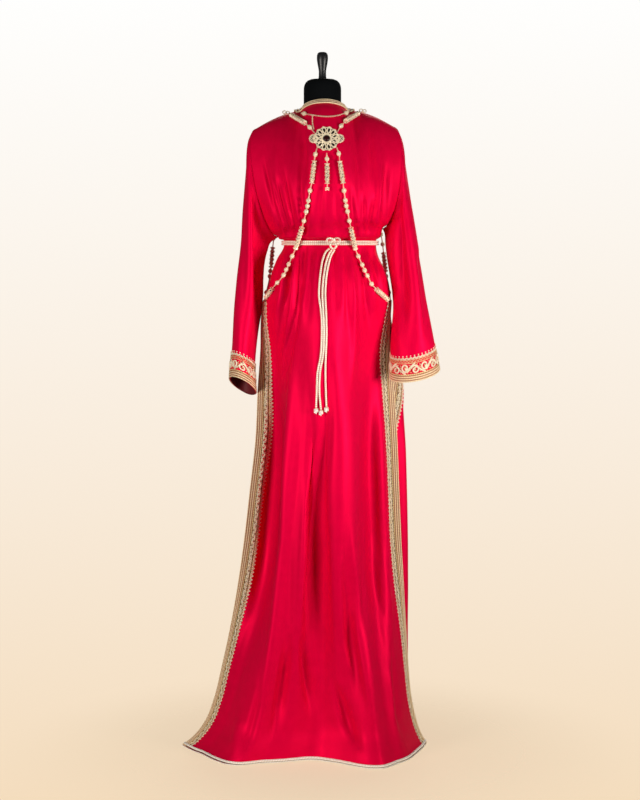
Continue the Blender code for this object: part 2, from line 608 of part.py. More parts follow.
def rest_on(tree, point, toward, clearance, reach=0.5):
    """The place where something of this half-thickness rests, coming along a direction at the point."""
    way = Vector(toward).normalized()
    start = Vector(point) - way * reach
    beside = Vector((-way.y, way.x, 0)) * 0.0015
    runs = [tree.ray_cast(start + beside * k, way)[3] or reach for k in (-1, 0, 1)]
    place = start + way * (min(runs) - clearance)
    for _ in range(200):
        distance = tree.find_nearest(place)[3]
        if distance >= clearance:
            break
        place -= way * max(0.0003, (clearance - distance) * 0.6)
    return np.array(place)


def clear_path(path, ways, tree, clearance, closed=False):
    """Moves the points of a path outwards until the lines between them clear what they lie on."""
    count = len(path)
    clear = np.broadcast_to(clearance, count)
    for _ in range(60):
        moved = False
        for k in range(count if closed else count - 1):
            n = (k + 1) % count
            span = np.linalg.norm(path[n] - path[k])
            for share in np.linspace(0, 1, max(5, round(span / 0.003))):
                spot = path[k] * (1 - share) + path[n] * share
                needed = clear[k] * (1 - share) + clear[n] * share
                lack = needed - tree.find_nearest(Vector(spot))[3]
                if lack > 0:
                    path[k] += ways[k] * max(lack, 0.0001) * (1 - share)
                    path[n] += ways[n] * max(lack, 0.0001) * share
                    moved = True
        if not moved:
            break


def mesh_object(name, bm, material):
    bmesh.ops.recalc_face_normals(bm, faces=bm.faces)
    mesh = bpy.data.meshes.new(name)
    bm.to_mesh(mesh)
    bm.free()
    mesh.shade_smooth()
    return add_part(name, mesh, material)


def make_cloth():
    """The five cut pieces of satin. Returns their grids and normals for what is sewn on them."""
    grids = {"back_panel": panel_grid(back_rows(), TRIM_COLUMNS, TRIM_COLUMNS, BACK_COLUMNS)}
    outward = {"back_panel": np.array([0, -1.0, 0])}
    for side in ("left", "right"):
        name = "front_" + side
        grids[name] = panel_grid(front_rows(side), TRIM_COLUMNS, 0, FRONT_COLUMNS)
        grids[name][:, -1, 0] += (-1 if side == "left" else 1) * SEAM
        outward[name] = np.array([0, 1.0, 0])
    cloth = []
    normals = {}
    for name, grid in grids.items():
        normals[name] = grid_normals(grid, False, outward[name])
        cloth.append(cloth_piece(name, grid, normals[name]))
    for side in ("left", "right"):
        name = "sleeve_" + side
        grid = sleeve_grid(side)
        grids[name] = grid
        normals[name] = grid_normals(grid, True, grid - grid.mean(axis=1, keepdims=True))
        cloth.append(cloth_piece(name, grid, normals[name], wraps=True))
    return grids, normals, cloth


def make_trims(grids, normals):
    """The corded and embroidered bands along the slits, and round the cuffs."""
    made = []
    slit = slice(SLIT_ROW, None)
    bands = {
        "slit_trim_back_left": ("back_panel", slice(0, TRIM_COLUMNS + 1)),
        "slit_trim_back_right": ("back_panel", slice(-TRIM_COLUMNS - 1, None)),
        "slit_trim_front_left": ("front_left", slice(0, TRIM_COLUMNS + 1)),
        "slit_trim_front_right": ("front_right", slice(0, TRIM_COLUMNS + 1)),
    }
    for name, (panel, columns) in bands.items():
        made.append(band_on(name, grids[panel][slit, columns], normals[panel][slit, columns]))
    for side in ("left", "right"):
        rows = slice(-CUFF_ROWS - 1, None)
        grid, normal = grids["sleeve_" + side][rows], normals["sleeve_" + side][rows]
        made.append(band_on("cuff_" + side, grid, normal, wraps=True))
    return made


def make_hem(grids, normals, tree):
    """The corded edge that finishes the hem of each panel, just beyond the cloth."""
    for name in ("back_panel", "front_left", "front_right"):
        grid = grids[name]
        out = normals[name][-1] * np.array([1, 1, 0])
        out /= np.maximum(np.linalg.norm(out, axis=1, keepdims=True), 1e-9)
        edge = grid[-1] + out * (HEM_REACH - SEAM)
        edge[:, 2] = HEM_CORD_R + 0.0004
        inset = 0.004
        for end, inside in ((0, 1), (-1, -2)):
            step = edge[inside] - edge[end]
            edge[end] += step / np.linalg.norm(step) * inset
        clear_path(edge, out, tree, HEM_REACH)
        tube("hem_piping_" + name.replace("_panel", ""), edge, HEM_CORD_R, "cream_cord", sides=0)


def make_neck_cords(cloth):
    """Three cords side by side round the neckline, on the back and both fronts."""
    made = []
    turns = FULL_TURN * (np.arange(22) + 0.5) / 22
    for k in range(3):
        tree = solid_tree([*cloth, *made])
        ring, ways = [], []
        for t in turns:
            back = math.cos(t)
            reach = 0.0036 + 0.0062 * k
            rise = NECK_BACK_RISE * max(back, 0) + NECK_FRONT_DROP * min(back, 0)
            depth = -NECK_BACK_Y if back > 0 else NECK_FRONT_Y
            slope = 0.95 * max(back, 0) + 0.55
            away = np.array([math.sin(t) * 0.5, -back * 0.5, 0.85])
            away /= np.linalg.norm(away)
            place = np.array([(NECK_R + reach) * math.sin(t), -(depth + reach * 0.8) * back,
                              NECK_SIDE_Z + rise - slope * reach])
            ring.append(rest_on(tree, place, -away, NECK_CORD_R + 0.0005, reach=0.03))
            ways.append(away)
        ring = np.array(ring)
        clear_path(ring, np.array(ways), tree, NECK_CORD_R + 0.0003, closed=True)
        made.append(tube(f"neck_cord_{k + 1}", ring, NECK_CORD_R, "cream_cord", closed=True, sides=0))
    return made


BELT_MIDDLE = 0.0147


def make_belt(cloth):
    """Two cords round the waist."""
    tree = solid_tree(cloth)
    level = (BELT_TOP + BELT_BOTTOM) / 2
    cords = []
    for name, rise in (("belt_cord_upper", 0.00295), ("belt_cord_lower", -0.00295)):
        turns = FULL_TURN * (np.arange(30) + 0.25) / 30
        ways = np.stack([np.sin(turns), np.cos(turns), 0 * turns], axis=1)
        start = (BELT_MIDDLE, 0, level + rise)
        ring = np.array([rest_on(tree, start, -way, BELT_CORD_R + 0.0005, reach=0.3) for way in ways])
        clear_path(ring, ways, tree, BELT_CORD_R + 0.0004, closed=True)
        cords.append(tube(name, ring, BELT_CORD_R, "cream_cord", closed=True))
    return cords


# The knot of the belt, and the three ends that hang from it: places as (x, z)
BELT_KNOT = Point(0.0222, 0.0, 1.2735)
KNOT_SIZE = 0.0060
BEHIND = (0, 1, 0)      # the direction from behind, towards the body
Place = namedtuple("Place", "x z")
TAILS = {
    "belt_tail_1": [
        Place(0.0130, 1.2590), Place(0.0055, 1.2522), Place(-0.0024, 1.2354), Place(-0.0073, 1.2108),
        Place(-0.0113, 1.1762), Place(-0.0123, 1.1426), Place(-0.0088, 1.1179), Place(-0.0063, 1.0951),
        Place(-0.0058, 1.0525), Place(-0.0083, 1.0028), Place(-0.0163, 0.9580), Place(-0.0180, 0.9132),
        Place(-0.0195, 0.8752),
    ],
    "belt_tail_2": [
        Place(0.0184, 1.2555), Place(0.0120, 1.2453), Place(0.0055, 1.2276), Place(0.0001, 1.1999),
        Place(-0.0034, 1.1703), Place(-0.0040, 1.1377), Place(-0.0014, 1.0951), Place(-0.0004, 1.0525),
        Place(-0.0025, 1.0028), Place(-0.0098, 0.9610), Place(-0.0113, 0.9132), Place(-0.0078, 0.8700),
    ],
    "belt_tail_3": [
        Place(0.0253, 1.2555), Place(0.0184, 1.2443), Place(0.0120, 1.2256), Place(0.0068, 1.1999),
        Place(0.0036, 1.1703), Place(0.0031, 1.1377), Place(0.0051, 1.0951), Place(0.0058, 1.0525),
        Place(0.0041, 1.0028), Place(0.0031, 0.9610), Place(0.0041, 0.9132), Place(0.0056, 0.8772),
    ],
}


def make_knot(tree):
    """The belt's knot: one cord in three loops, lying on the belt and the cloth."""
    turns = FULL_TURN * np.arange(36) / 36
    knot = np.stack([BELT_KNOT.x + KNOT_SIZE * (np.sin(turns) + 1.9 * np.sin(2 * turns)),
                     -0.10 - 0.0050 * np.sin(3 * turns),
                     BELT_KNOT.z + 0.86 * KNOT_SIZE * (np.cos(turns) - 1.9 * np.cos(2 * turns))], axis=1)
    while min(tree.find_nearest(Vector(p))[3] for p in knot) < TAIL_CORD_R + 0.0006:
        knot[:, 1] -= 0.0005
    return tube("belt_knot", knot, TAIL_CORD_R, "cream_cord", closed=True, sides=0)


def make_tails(cloth, belt):
    """Three ends of the belt's cord hang from the knot, each with its own small knot."""
    made = [make_knot(solid_tree([*cloth, *belt]))]
    for name, route in TAILS.items():
        tree = solid_tree([*cloth, *belt, *made])
        places = [rest_on(tree, (p.x, 0, p.z), BEHIND, TAIL_CORD_R + 0.0006) for p in route]
        path = smooth_route(places, 0.0138)
        ways = np.tile([0, -1.0, 0], (len(path), 1))
        clear_path(path, ways, tree, TAIL_CORD_R + 0.0004)
        made.append(tube(name, path, TAIL_CORD_R, "cream_cord", sides=2))
        knot = bmesh.new()
        bmesh.ops.create_uvsphere(knot, u_segments=8, v_segments=5, radius=0.0056)
        bmesh.ops.scale(knot, vec=(0.82, 0.88, 1.12), verts=knot.verts)
        end = path[-1] + np.array([0, 0, -0.0067])
        while tree.find_nearest(Vector(end))[3] < 0.0064:
            end[1] -= 0.0003
        bmesh.ops.translate(knot, vec=end, verts=knot.verts)
        made.append(mesh_object(name.replace("tail", "tail_knot"), knot, "cream_cord"))
    return made


# The gilt ornament sewn to the back: strings of beads and bars, hung from a medallion.
# A bar runs from its own place to that of the next row, which ends it.
BEAD_R = 0.0062
BEAD_HALF = 0.0055
BAR_R = 0.0064
LINK_R = 0.0014
Bead = namedtuple("Bead", "x z kind y", defaults=[None])
STRANDS = {
    "strand_lower_left": [
        Bead(-0.0170, 1.4985, "link"), Bead(-0.0210, 1.4825, "bead"),
        Bead(-0.0234, 1.4678, "bar"), Bead(-0.0301, 1.4130, "end"),
        Bead(-0.0340, 1.3964, "bead"), Bead(-0.0378, 1.3732, "bead"), Bead(-0.0402, 1.3600, "bead"),
        Bead(-0.0431, 1.3467, "bead"), Bead(-0.0487, 1.3252, "bead"),
        Bead(-0.0532, 1.3094, "bar"), Bead(-0.0694, 1.2587, "end"),
        Bead(-0.0776, 1.2404, "bead"), Bead(-0.0857, 1.2209, "bead"), Bead(-0.0920, 1.2075, "bead"),
        Bead(-0.0986, 1.1947, "bead"), Bead(-0.1138, 1.1759, "bead"),
        Bead(-0.1260, 1.1620, "bar"), Bead(-0.1435, 1.1385, "end"),
    ],
    "strand_lower_right": [
        Bead(0.0300, 1.4985, "link"), Bead(0.0348, 1.4840, "bead"),
        Bead(0.0372, 1.4666, "bar"), Bead(0.0452, 1.4130, "end"),
        Bead(0.0473, 1.3964, "bead"), Bead(0.0505, 1.3732, "bead"), Bead(0.0529, 1.3601, "bead"),
        Bead(0.0560, 1.3472, "bead"), Bead(0.0604, 1.3252, "bead"),
        Bead(0.0640, 1.3089, "bar"), Bead(0.0763, 1.2572, "end"),
        Bead(0.0829, 1.2404, "bead"), Bead(0.0925, 1.2195, "bead"), Bead(0.0983, 1.2063, "bead"),
        Bead(0.1049, 1.1933, "bead"), Bead(0.1151, 1.1735, "bead"),
        Bead(0.1267, 1.1607, "bar"), Bead(0.1560, 1.1345, "end"),
    ],
    "strand_upper_left": [
        Bead(-0.0285, 1.5390, "link"), Bead(-0.0347, 1.5480, "bead"),
        Bead(-0.0460, 1.5590, "bar"), Bead(-0.0801, 1.5830, "end"), Bead(-0.0935, 1.5890, "bead"),
    ],
    "strand_upper_right": [
        Bead(0.0345, 1.5420, "link"), Bead(0.0409, 1.5515, "bead"),
        Bead(0.0515, 1.5636, "bar"), Bead(0.0828, 1.5870, "end"), Bead(0.0945, 1.5935, "bead"),
    ],
    "pendant": [
        Bead(0.0060, 1.4855, "link"), Bead(0.0066, 1.4716, "bead"),
        Bead(0.0070, 1.4607, "bar"), Bead(0.0072, 1.4121, "end"), Bead(0.0072, 1.4035, "bead"),
    ],
    "neck_chain": [
        Bead(-0.0480, 1.5830, "bead"), Bead(-0.0281, 1.5800, "link"), Bead(-0.0027, 1.5775, "link"),
        Bead(0.0297, 1.5805, "link"), Bead(0.0530, 1.5850, "bead"),
    ],
    "drop_chain": [
        Bead(-0.0279, 1.5765, "link"), Bead(-0.0281, 1.5600, "link"), Bead(-0.0255, 1.5450, "link"),
    ],
    "strand_front_left": [
        Bead(-0.0990, 1.5700, "link", 0.0560), Bead(-0.1060, 1.5200, "bead", 0.0900),
        Bead(-0.1130, 1.4600, "bar", 0.1170), Bead(-0.1190, 1.4100, "end", 0.1220),
        Bead(-0.1230, 1.3700, "bead", 0.1210), Bead(-0.1255, 1.3250, "bead", 0.1150),
        Bead(-0.1270, 1.2850, "bead", 0.1060), Bead(-0.1290, 1.2500, "bead", 0.0950),
        Bead(-0.1310, 1.2350, "bead", 0.0890), Bead(-0.1330, 1.2180, "bead", 0.0820),
        Bead(-0.1360, 1.1950, "bead", 0.0700), Bead(-0.1440, 1.1500, "bead", 0.0400),
    ],
    "strand_front_right": [
        Bead(0.1010, 1.5720, "link", 0.0560), Bead(0.1100, 1.5200, "bead", 0.0900),
        Bead(0.1180, 1.4600, "bar", 0.1170), Bead(0.1270, 1.4100, "end", 0.1220),
        Bead(0.1340, 1.3700, "bead", 0.1210), Bead(0.1400, 1.3250, "bead", 0.1150),
        Bead(0.1440, 1.2850, "bead", 0.1060), Bead(0.1480, 1.2500, "bead", 0.0950),
        Bead(0.1500, 1.2350, "bead", 0.0890), Bead(0.1530, 1.2180, "bead", 0.0820),
        Bead(0.1560, 1.1950, "bead", 0.0700), Bead(0.1620, 1.1500, "bead", 0.0400),
    ],
}


Station = namedtuple("Station", "at radius lift")


def string_stations(beads, path):
    """Where a thin link swells into beads and bars, by distance along it."""
    steps = np.linalg.norm(np.diff(path, axis=0), axis=1)
    length = np.concatenate([[0], np.cumsum(steps)])
    stations = [Station(0.0, LINK_R, LINK_R)]
    bar_start = 0.0
    for bead in beads:
        near = (path[:, 0] - bead.x) ** 2 + (path[:, 2] - bead.z) ** 2
        at = float(length[int(np.argmin(near))])
        if bead.kind == "bar":
            bar_start = at
        elif bead.kind == "end":
            stations += [Station(bar_start, LINK_R, BAR_R), Station(bar_start + 0.003, BAR_R, BAR_R),
                         Station(at - 0.003, BAR_R, BAR_R), Station(at, LINK_R, BAR_R)]
        elif bead.kind == "bead":
            at = min(max(at, BEAD_HALF + 0.001), float(length[-1]) - BEAD_HALF - 0.001)
            stations += [Station(at - BEAD_HALF, LINK_R, BEAD_R),
                         Station(at + 0.35 * BEAD_HALF, BEAD_R, BEAD_R),
                         Station(at + BEAD_HALF, LINK_R, BEAD_R)]
    stations.append(Station(float(length[-1]), LINK_R, LINK_R))
    spaced = [stations[0]]
    for station in stations[1:]:
        gap = station.at - spaced[-1].at
        if gap > 0.018 and station.radius == LINK_R:
            pieces = round(gap / 0.012)
            spaced += [Station(spaced[-1].at + gap / pieces, LINK_R, LINK_R) for _ in range(pieces - 1)]
        if station.at > spaced[-1].at + 0.0004:
            spaced.append(station)
    return spaced, length


def snug(obj, tree, toward):
    """Moves a finished string against what it lies on, so that its nearest bead touches."""
    bpy.context.view_layer.update()
    mesh = obj.evaluated_get(bpy.context.evaluated_depsgraph_get()).to_mesh()
    corners = [v.co.copy() for v in mesh.vertices]
    way = Vector(toward)
    shift = 0.0
    while min(tree.find_nearest(c + way * shift)[3] for c in corners) > 0.0006:
        shift += 0.0002
    for point in obj.data.splines[0].points:
        point.co.y += way.y * shift


def make_strand(name, beads, tree):
    """One string of the ornament, laid on the cloth or hung at its own places."""
    clearance = LINK_R + 0.0004
    places = []
    for bead in beads:
        if bead.y is None:
            places.append(rest_on(tree, (bead.x, 0, bead.z), BEHIND, clearance, reach=0.3))
        else:
            places.append(np.array([bead.x, bead.y, bead.z]))
    path = smooth_route(places, 0.0035)
    inwards = BEHIND if beads[0].y is None else (0, -1, 0)
    ways = []
    for p in path:
        away = (Vector(p) - tree.find_nearest(Vector(p))[0]).normalized()
        ways.append((away - Vector(inwards) * 0.7).normalized())
    clear_path(path, np.array(ways), tree, clearance)
    stations, length = string_stations(beads, path)
    points = np.array([[np.interp(s.at, length, path[:, k]) for k in range(3)] for s in stations])
    station_ways = np.array([ways[int(np.argmin(np.abs(length - s.at)))] for s in stations])
    clear_path(points, station_ways, tree, [s.lift + 0.0004 for s in stations])
    obj = tube(name, points, LINK_R, "gilt_metal", sides=0, radii=[s.radius for s in stations])
    snug(obj, tree, inwards)
    return obj


MEDALLION = Place(0.0056, 1.5189)
MEDALLION_R = 0.0295
LOBE_AT, LOBE_R = 0.0300, 0.0125
MEDALLION_WALL = 0.0040
STONE_R = 0.0072


def medallion_reach(t):
    """Radius of the medallion at an angle: a scalloped disc with a round lobe at either side."""
    disc = MEDALLION_R + 0.0010 * math.cos(12 * t)
    inside = LOBE_R ** 2 - (LOBE_AT * math.sin(t)) ** 2
    lobe = LOBE_AT * abs(math.cos(t)) + math.sqrt(inside) if inside > 0 else 0
    return max(disc, lobe)


def make_medallion(tree):
    """The medallion and its stone, laid on the back along the slope of the cloth."""
    x, z = MEDALLION
    high = rest_on(tree, (x, 0, z + 0.025), BEHIND, 0.0)
    low = rest_on(tree, (x, 0, z - 0.025), BEHIND, 0.0)
    up = Vector(high - low).normalized()
    side = Vector((1, 0, 0))
    out = side.cross(up).normalized()
    middle = Vector((high + low) / 2)
    turns = FULL_TURN * np.arange(36) / 36
    levels = [(0.0, 0.97), (0.0012, 1.0), (0.0026, 0.97), (MEDALLION_WALL, 0.62), (MEDALLION_WALL, 0.32)]
    spokes = [(side * math.cos(t) + up * math.sin(t)) * medallion_reach(t) for t in turns]
    rings = [[spoke * share + out * level for spoke in spokes] for level, share in levels]
    middle += out * 0.030
    under = [p * share for p in rings[0] for share in (0.1, 0.4, 0.7, 1.0)]
    while min(tree.find_nearest(middle + p)[3] for p in under) > 0.0008:
        middle -= out * 0.0003
    plate = bmesh.new()
    loops = [[plate.verts.new(middle + p) for p in ring] for ring in rings]
    for lower, upper in zip(loops, loops[1:]):
        for k in range(len(turns)):
            n = (k + 1) % len(turns)
            plate.faces.new((lower[k], lower[n], upper[n], upper[k]))
    plate.faces.new(loops[0][::-1])
    plate.faces.new(loops[-1])
    bmesh.ops.triangulate(plate, faces=plate.faces)
    made = [mesh_object("medallion", plate, "gilt_metal")]
    stone = bmesh.new()
    bmesh.ops.create_uvsphere(stone, u_segments=12, v_segments=6, radius=STONE_R)
    flat = [v for v in stone.verts if v.co.z < -1e-6]
    for v in flat:
        v.co.z = 0.0
    bmesh.ops.remove_doubles(stone, verts=stone.verts, dist=1e-6)
    for v in stone.verts:
        v.co = middle + out * (MEDALLION_WALL + 0.0003 + v.co.z * 0.42) + side * v.co.x + up * v.co.y
    made.append(mesh_object("medallion_stone", stone, "dark_stone"))
    return made


def make_ornament(cloth, belt, knots, cords):
    tree = solid_tree([*cloth, *cords, *belt])
    made = make_medallion(tree)
    for name, beads in STRANDS.items():
        tree = solid_tree([*cloth, *belt, *cords, *knots, *made])
        made.append(make_strand(name, beads, tree))
    return made


# The dress form: height, half width, and how far it reaches behind and in front
FormRing = namedtuple("FormRing", "z left right behind front")
FORM_RINGS = [
    FormRing(0.9300, -0.085, 0.105, 0.060, 0.070), FormRing(0.9340, -0.105, 0.125, 0.080, 0.088),
    FormRing(0.9700, -0.122, 0.140, 0.098, 0.098), FormRing(1.0400, -0.134, 0.148, 0.108, 0.100),
    FormRing(1.1200, -0.134, 0.150, 0.106, 0.098), FormRing(1.2000, -0.114, 0.136, 0.092, 0.088),
    FormRing(1.2450, -0.101, 0.129, 0.082, 0.080), FormRing(BELT_BOTTOM, -0.200, 0.200, 0.200, 0.200),
    FormRing(BELT_TOP, -0.200, 0.200, 0.200, 0.200), FormRing(1.3250, -0.101, 0.124, 0.082, 0.084),
    FormRing(1.3900, -0.120, 0.136, 0.090, 0.104), FormRing(1.4600, -0.140, 0.148, 0.092, 0.100),
    FormRing(1.5100, -0.148, 0.152, 0.084, 0.080), FormRing(1.5350, -0.142, 0.146, 0.070, 0.062),
    FormRing(1.5520, -0.118, 0.124, 0.058, 0.050), FormRing(1.5680, -0.086, 0.092, 0.050, 0.046),
    FormRing(1.5820, -0.052, 0.050, 0.047, 0.044), FormRing(1.6000, -0.049, 0.042, 0.046, 0.046),
]
FORM_SIDES = 22
NECK_X = -0.004         # the neck cap and its knob stand this far to the left
NECK_CAP_R = 0.0460
NECK_CAP_TOP = 1.6734
FINIAL_TOP = 1.7388
WAIST_GAP = 0.0006
TORSO_CLEARANCE = 0.0050
BASE_R = 0.120
BASE_WALL = 0.014
POLE_R = 0.011


def free_reach(tree, start, way):
    """How far a line runs inside the cloth, over a small patch so that it can't slip through a seam."""
    reaches = []
    for side, rise in ((0, 0), (-0.004, 0), (0.004, 0), (0, -0.004), (0, 0.004)):
        moved = start + Vector((-way.y, way.x, 0)) * side + Vector((0, 0, rise))
        reaches.append(tree.ray_cast(moved, way)[3] or 1.0)
    return min(reaches)


def make_form(cloth):
    """The limbless body under the kaftan, closed at its foot and held by the belt at its waist."""
    tree = solid_tree(cloth)
    torso = bmesh.new()
    loops = []
    for ring in FORM_RINGS:
        held = ring.z in (BELT_TOP, BELT_BOTTOM)
        middle_x = BELT_MIDDLE if held else (ring.left + ring.right) / 2
        points = []
        for t in FULL_TURN * (np.arange(FORM_SIDES) + 0.5) / FORM_SIDES:
            half = (ring.right - ring.left) / 2
            depth = ring.behind if math.sin(t) < 0 else ring.front
            wanted = Vector((half * math.cos(t), depth * math.sin(t), 0))
            way = wanted.normalized()
            start = Vector((middle_x, 0, ring.z))
            gap = WAIST_GAP if held else TORSO_CLEARANCE
            reach = min(wanted.length, free_reach(tree, start, way) - gap)
            points.append(torso.verts.new(start + way * reach))
        loops.append(points)
    for lower, upper in zip(loops, loops[1:]):
        for k in range(FORM_SIDES):
            n = (k + 1) % FORM_SIDES
            torso.faces.new((lower[k], lower[n], upper[n], upper[k]))
    torso.faces.new(loops[0][::-1])
    torso.faces.new(loops[-1])
    bmesh.ops.triangulate(torso, faces=torso.faces)
    mesh_object("form_torso", torso, "black_jersey")


def lathe(name, profile, material, sides=24, at=(0.0, 0.0)):
    """A turned shape from (radius, z) points, closed on its axis at both ends."""
    bm = bmesh.new()
    rings = []
    for radius, z in profile:
        if radius == 0:
            rings.append([bm.verts.new((0, 0, z))])
        else:
            rings.append([bm.verts.new((radius * math.cos(t), radius * math.sin(t), z))
                          for t in FULL_TURN * np.arange(sides) / sides])
    for lower, upper in zip(rings, rings[1:]):
        for k in range(sides):
            n = (k + 1) % sides
            if len(lower) == 1:
                bm.faces.new((lower[0], upper[n], upper[k]))
            elif len(upper) == 1:
                bm.faces.new((lower[k], lower[n], upper[0]))
            else:
                bm.faces.new((lower[k], lower[n], upper[n], upper[k]))
    obj = mesh_object(name, bm, material)
    obj.location = (*at, 0)
    return obj


def make_stand():
    cap, top, foot = NECK_CAP_R, NECK_CAP_TOP, NECK_CAP_TOP + 0.0003
    neck = (NECK_X, BODY_Y)
    lathe("form_neck_cap", [(0, 1.6003), (cap, 1.6003), (cap, top - 0.026), (cap * 0.955, top - 0.012),
                            (cap * 0.82, top - 0.004), (cap * 0.50, top), (0, top)], "black_jersey", at=neck)
    lathe("form_finial", [(0, foot), (0.0105, foot), (0.0092, foot + 0.008), (0.0090, foot + 0.020),
                          (0.0118, foot + 0.034), (0.0138, foot + 0.048), (0.0136, FINIAL_TOP - 0.008),
                          (0.0110, FINIAL_TOP - 0.001), (0, FINIAL_TOP)], "black_metal", sides=16, at=neck)
    low = BASE_WALL + 0.0003
    lathe("form_pole", [(0, low), (POLE_R, low), (POLE_R, 0.9297), (0, 0.9297)], "black_metal", sides=16)
    lathe("form_base", [(0, 0), (BASE_R, 0), (BASE_R, BASE_WALL * 0.5), (BASE_R - 0.008, BASE_WALL),
                        (0, BASE_WALL)], "black_metal", sides=32)


def main():
    clear_scene()
    grids, normals, cloth = make_cloth()
    make_stand()
    make_form(cloth)
    trims = make_trims(grids, normals)
    make_hem(grids, normals, solid_tree([*cloth, *trims]))
    panels = cloth[:3]
    cords = make_neck_cords(panels)
    belt = make_belt(panels)
    knots = make_tails(panels, belt)
    make_ornament([*cloth, *trims], belt, knots, cords)


PARTS = bpy.data.collections.new("moroccan_kaftan_on_dress_form")
bpy.context.scene.collection.children.link(PARTS)
main()
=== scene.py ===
import math

import bmesh
import bpy
import numpy as np
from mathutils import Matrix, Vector
from mathutils.bvhtree import BVHTree


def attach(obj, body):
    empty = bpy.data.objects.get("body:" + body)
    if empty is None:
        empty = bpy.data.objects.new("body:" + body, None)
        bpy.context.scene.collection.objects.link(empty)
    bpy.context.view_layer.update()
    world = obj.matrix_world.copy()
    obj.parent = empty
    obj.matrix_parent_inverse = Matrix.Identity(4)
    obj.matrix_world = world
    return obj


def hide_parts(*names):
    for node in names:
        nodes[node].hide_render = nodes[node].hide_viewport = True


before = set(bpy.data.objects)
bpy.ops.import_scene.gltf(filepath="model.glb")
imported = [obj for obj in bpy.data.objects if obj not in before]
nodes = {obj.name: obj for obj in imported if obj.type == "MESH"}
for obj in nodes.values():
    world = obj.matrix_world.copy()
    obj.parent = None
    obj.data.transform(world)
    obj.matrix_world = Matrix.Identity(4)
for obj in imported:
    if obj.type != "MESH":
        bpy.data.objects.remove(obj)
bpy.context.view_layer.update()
fullTurn = 2 * math.pi


# Small helpers

def linear(hexColour):      # an sRGB hex value as the linear colour that shaders take
    parts = [int(hexColour[i:i + 2], 16) / 255 for i in (1, 3, 5)]
    return [c / 12.92 if c <= 0.04045 else ((c + 0.055) / 1.055) ** 2.4 for c in parts] + [1.0]


def feed(tree, node, inputs):       # a value that is a socket gets linked
    for name, value in inputs.items():
        if isinstance(value, bpy.types.NodeSocket):
            tree.links.new(value, node.inputs[name])
        else:
            node.inputs[name].default_value = value


def addNode(tree, kind, settings=None, inputs=None):
    node = tree.nodes.new(kind)
    for name, value in (settings or {}).items():
        setattr(node, name, value)
    feed(tree, node, inputs or {})
    return node


def newMaterial(name, **values):
    material = bpy.data.materials.new(name)
    material.use_nodes = True
    tree = material.node_tree
    shader = tree.nodes["Principled BSDF"]
    feed(tree, shader, {socket.replace("_", " "): value for socket, value in values.items()})
    return material, tree, shader


def ease(t):
    t = np.clip(t, 0.0, 1.0)
    return t * t * (3 - 2 * t)


def unit(vectors):
    return vectors / np.maximum(np.linalg.norm(vectors, axis=-1, keepdims=True), 1e-12)


def pointsOf(x, y, z):      # each is a row of numbers, or one number that all the points share
    return np.stack(np.broadcast_arrays(x, y, z), axis=-1).astype(float)


def runOf(path):        # metres from the start of a path to each of its points
    return np.concatenate([[0], np.cumsum(np.linalg.norm(np.diff(path, axis=0), axis=1))])


def middleOf(corners):
    return (corners.min(axis=0) + corners.max(axis=0)) / 2


def frameCorners(name):
    return np.array([v.co[:] for v in nodes[name].data.vertices])


def frameMesh(name):        # a copy of a node's mesh, its loose triangles joined
    bm = bmesh.new()
    bm.from_mesh(nodes[name].data)
    bmesh.ops.remove_doubles(bm, verts=bm.verts, dist=1e-5)
    return bm


def meshOf(name, bm):
    mesh = bpy.data.meshes.new(name)
    bm.to_mesh(mesh)
    bm.free()
    return mesh


def placed(name, data):
    thing = bpy.data.objects.new(name, data)
    bpy.context.scene.collection.objects.link(thing)
    return thing


def addPiece(name, mesh, materials, replaced):
    piece = placed(name, mesh)
    for material in materials:
        mesh.materials.append(material)
    mesh.shade_smooth()
    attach(piece, "root")
    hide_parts(replaced)
    return piece


# Camera at the photo's height and tilt

camera = {"place": (-0.01, -4.525, 1.25), "tiltDown": 4.655, "lens": 81.675, "sensor": 36.0,
          "widthShare": 0.8}
cameraData = bpy.data.cameras.new("photoCamera")
cameraData.sensor_fit = "VERTICAL"
cameraData.sensor_height = camera["sensor"]
cameraData.sensor_width = camera["sensor"] * camera["widthShare"]
cameraData.lens = camera["lens"]
cameraObject = placed("photoCamera", cameraData)
cameraObject.location = camera["place"]
cameraObject.rotation_euler = (math.radians(90 - camera["tiltDown"]), 0, 0)
bpy.context.scene.camera = cameraObject
bpy.context.scene.view_settings.view_transform = "Standard"

# Studio light: two honeycomb softboxes at hip height, the key from the right, and a rim from the far side

studio = {
    "keyLight": {"place": (2.20, -1.75, 1.02), "size": 0.8, "watts": 8.4, "spread": 58, "colour": "#FFF8F0"},
    "fillLight": {"place": (-1.95, -2.20, 1.05), "size": 1.0, "watts": 20.5, "spread": 110,
                  "colour": "#FFF6EE"},
    "farLight": {"place": (0.6, 3.4, 2.6), "size": 2.4, "watts": 50, "spread": 180, "colour": "#FFFAF4"},
    "aim": (0.0, 0.0, 1.02),
    "skyTop": "#FFFFFE", "skyLow": "#F4DCBC", "skyStrength": 0.10, "floorRadius": 0.95,
}
for lampName in ("keyLight", "fillLight", "farLight"):
    lamp = studio[lampName]
    lampData = bpy.data.lights.new(lampName, "AREA")
    lampData.size = lamp["size"]
    lampData.energy = lamp["watts"]
    lampData.spread = math.radians(lamp["spread"])
    lampData.color = linear(lamp["colour"])[:3]
    lampObject = placed(lampName, lampData)
    lampObject.location = lamp["place"]
    lookAt = Vector(studio["aim"]) - Vector(lamp["place"])
    lampObject.rotation_euler = lookAt.to_track_quat("-Z", "Y").to_euler()

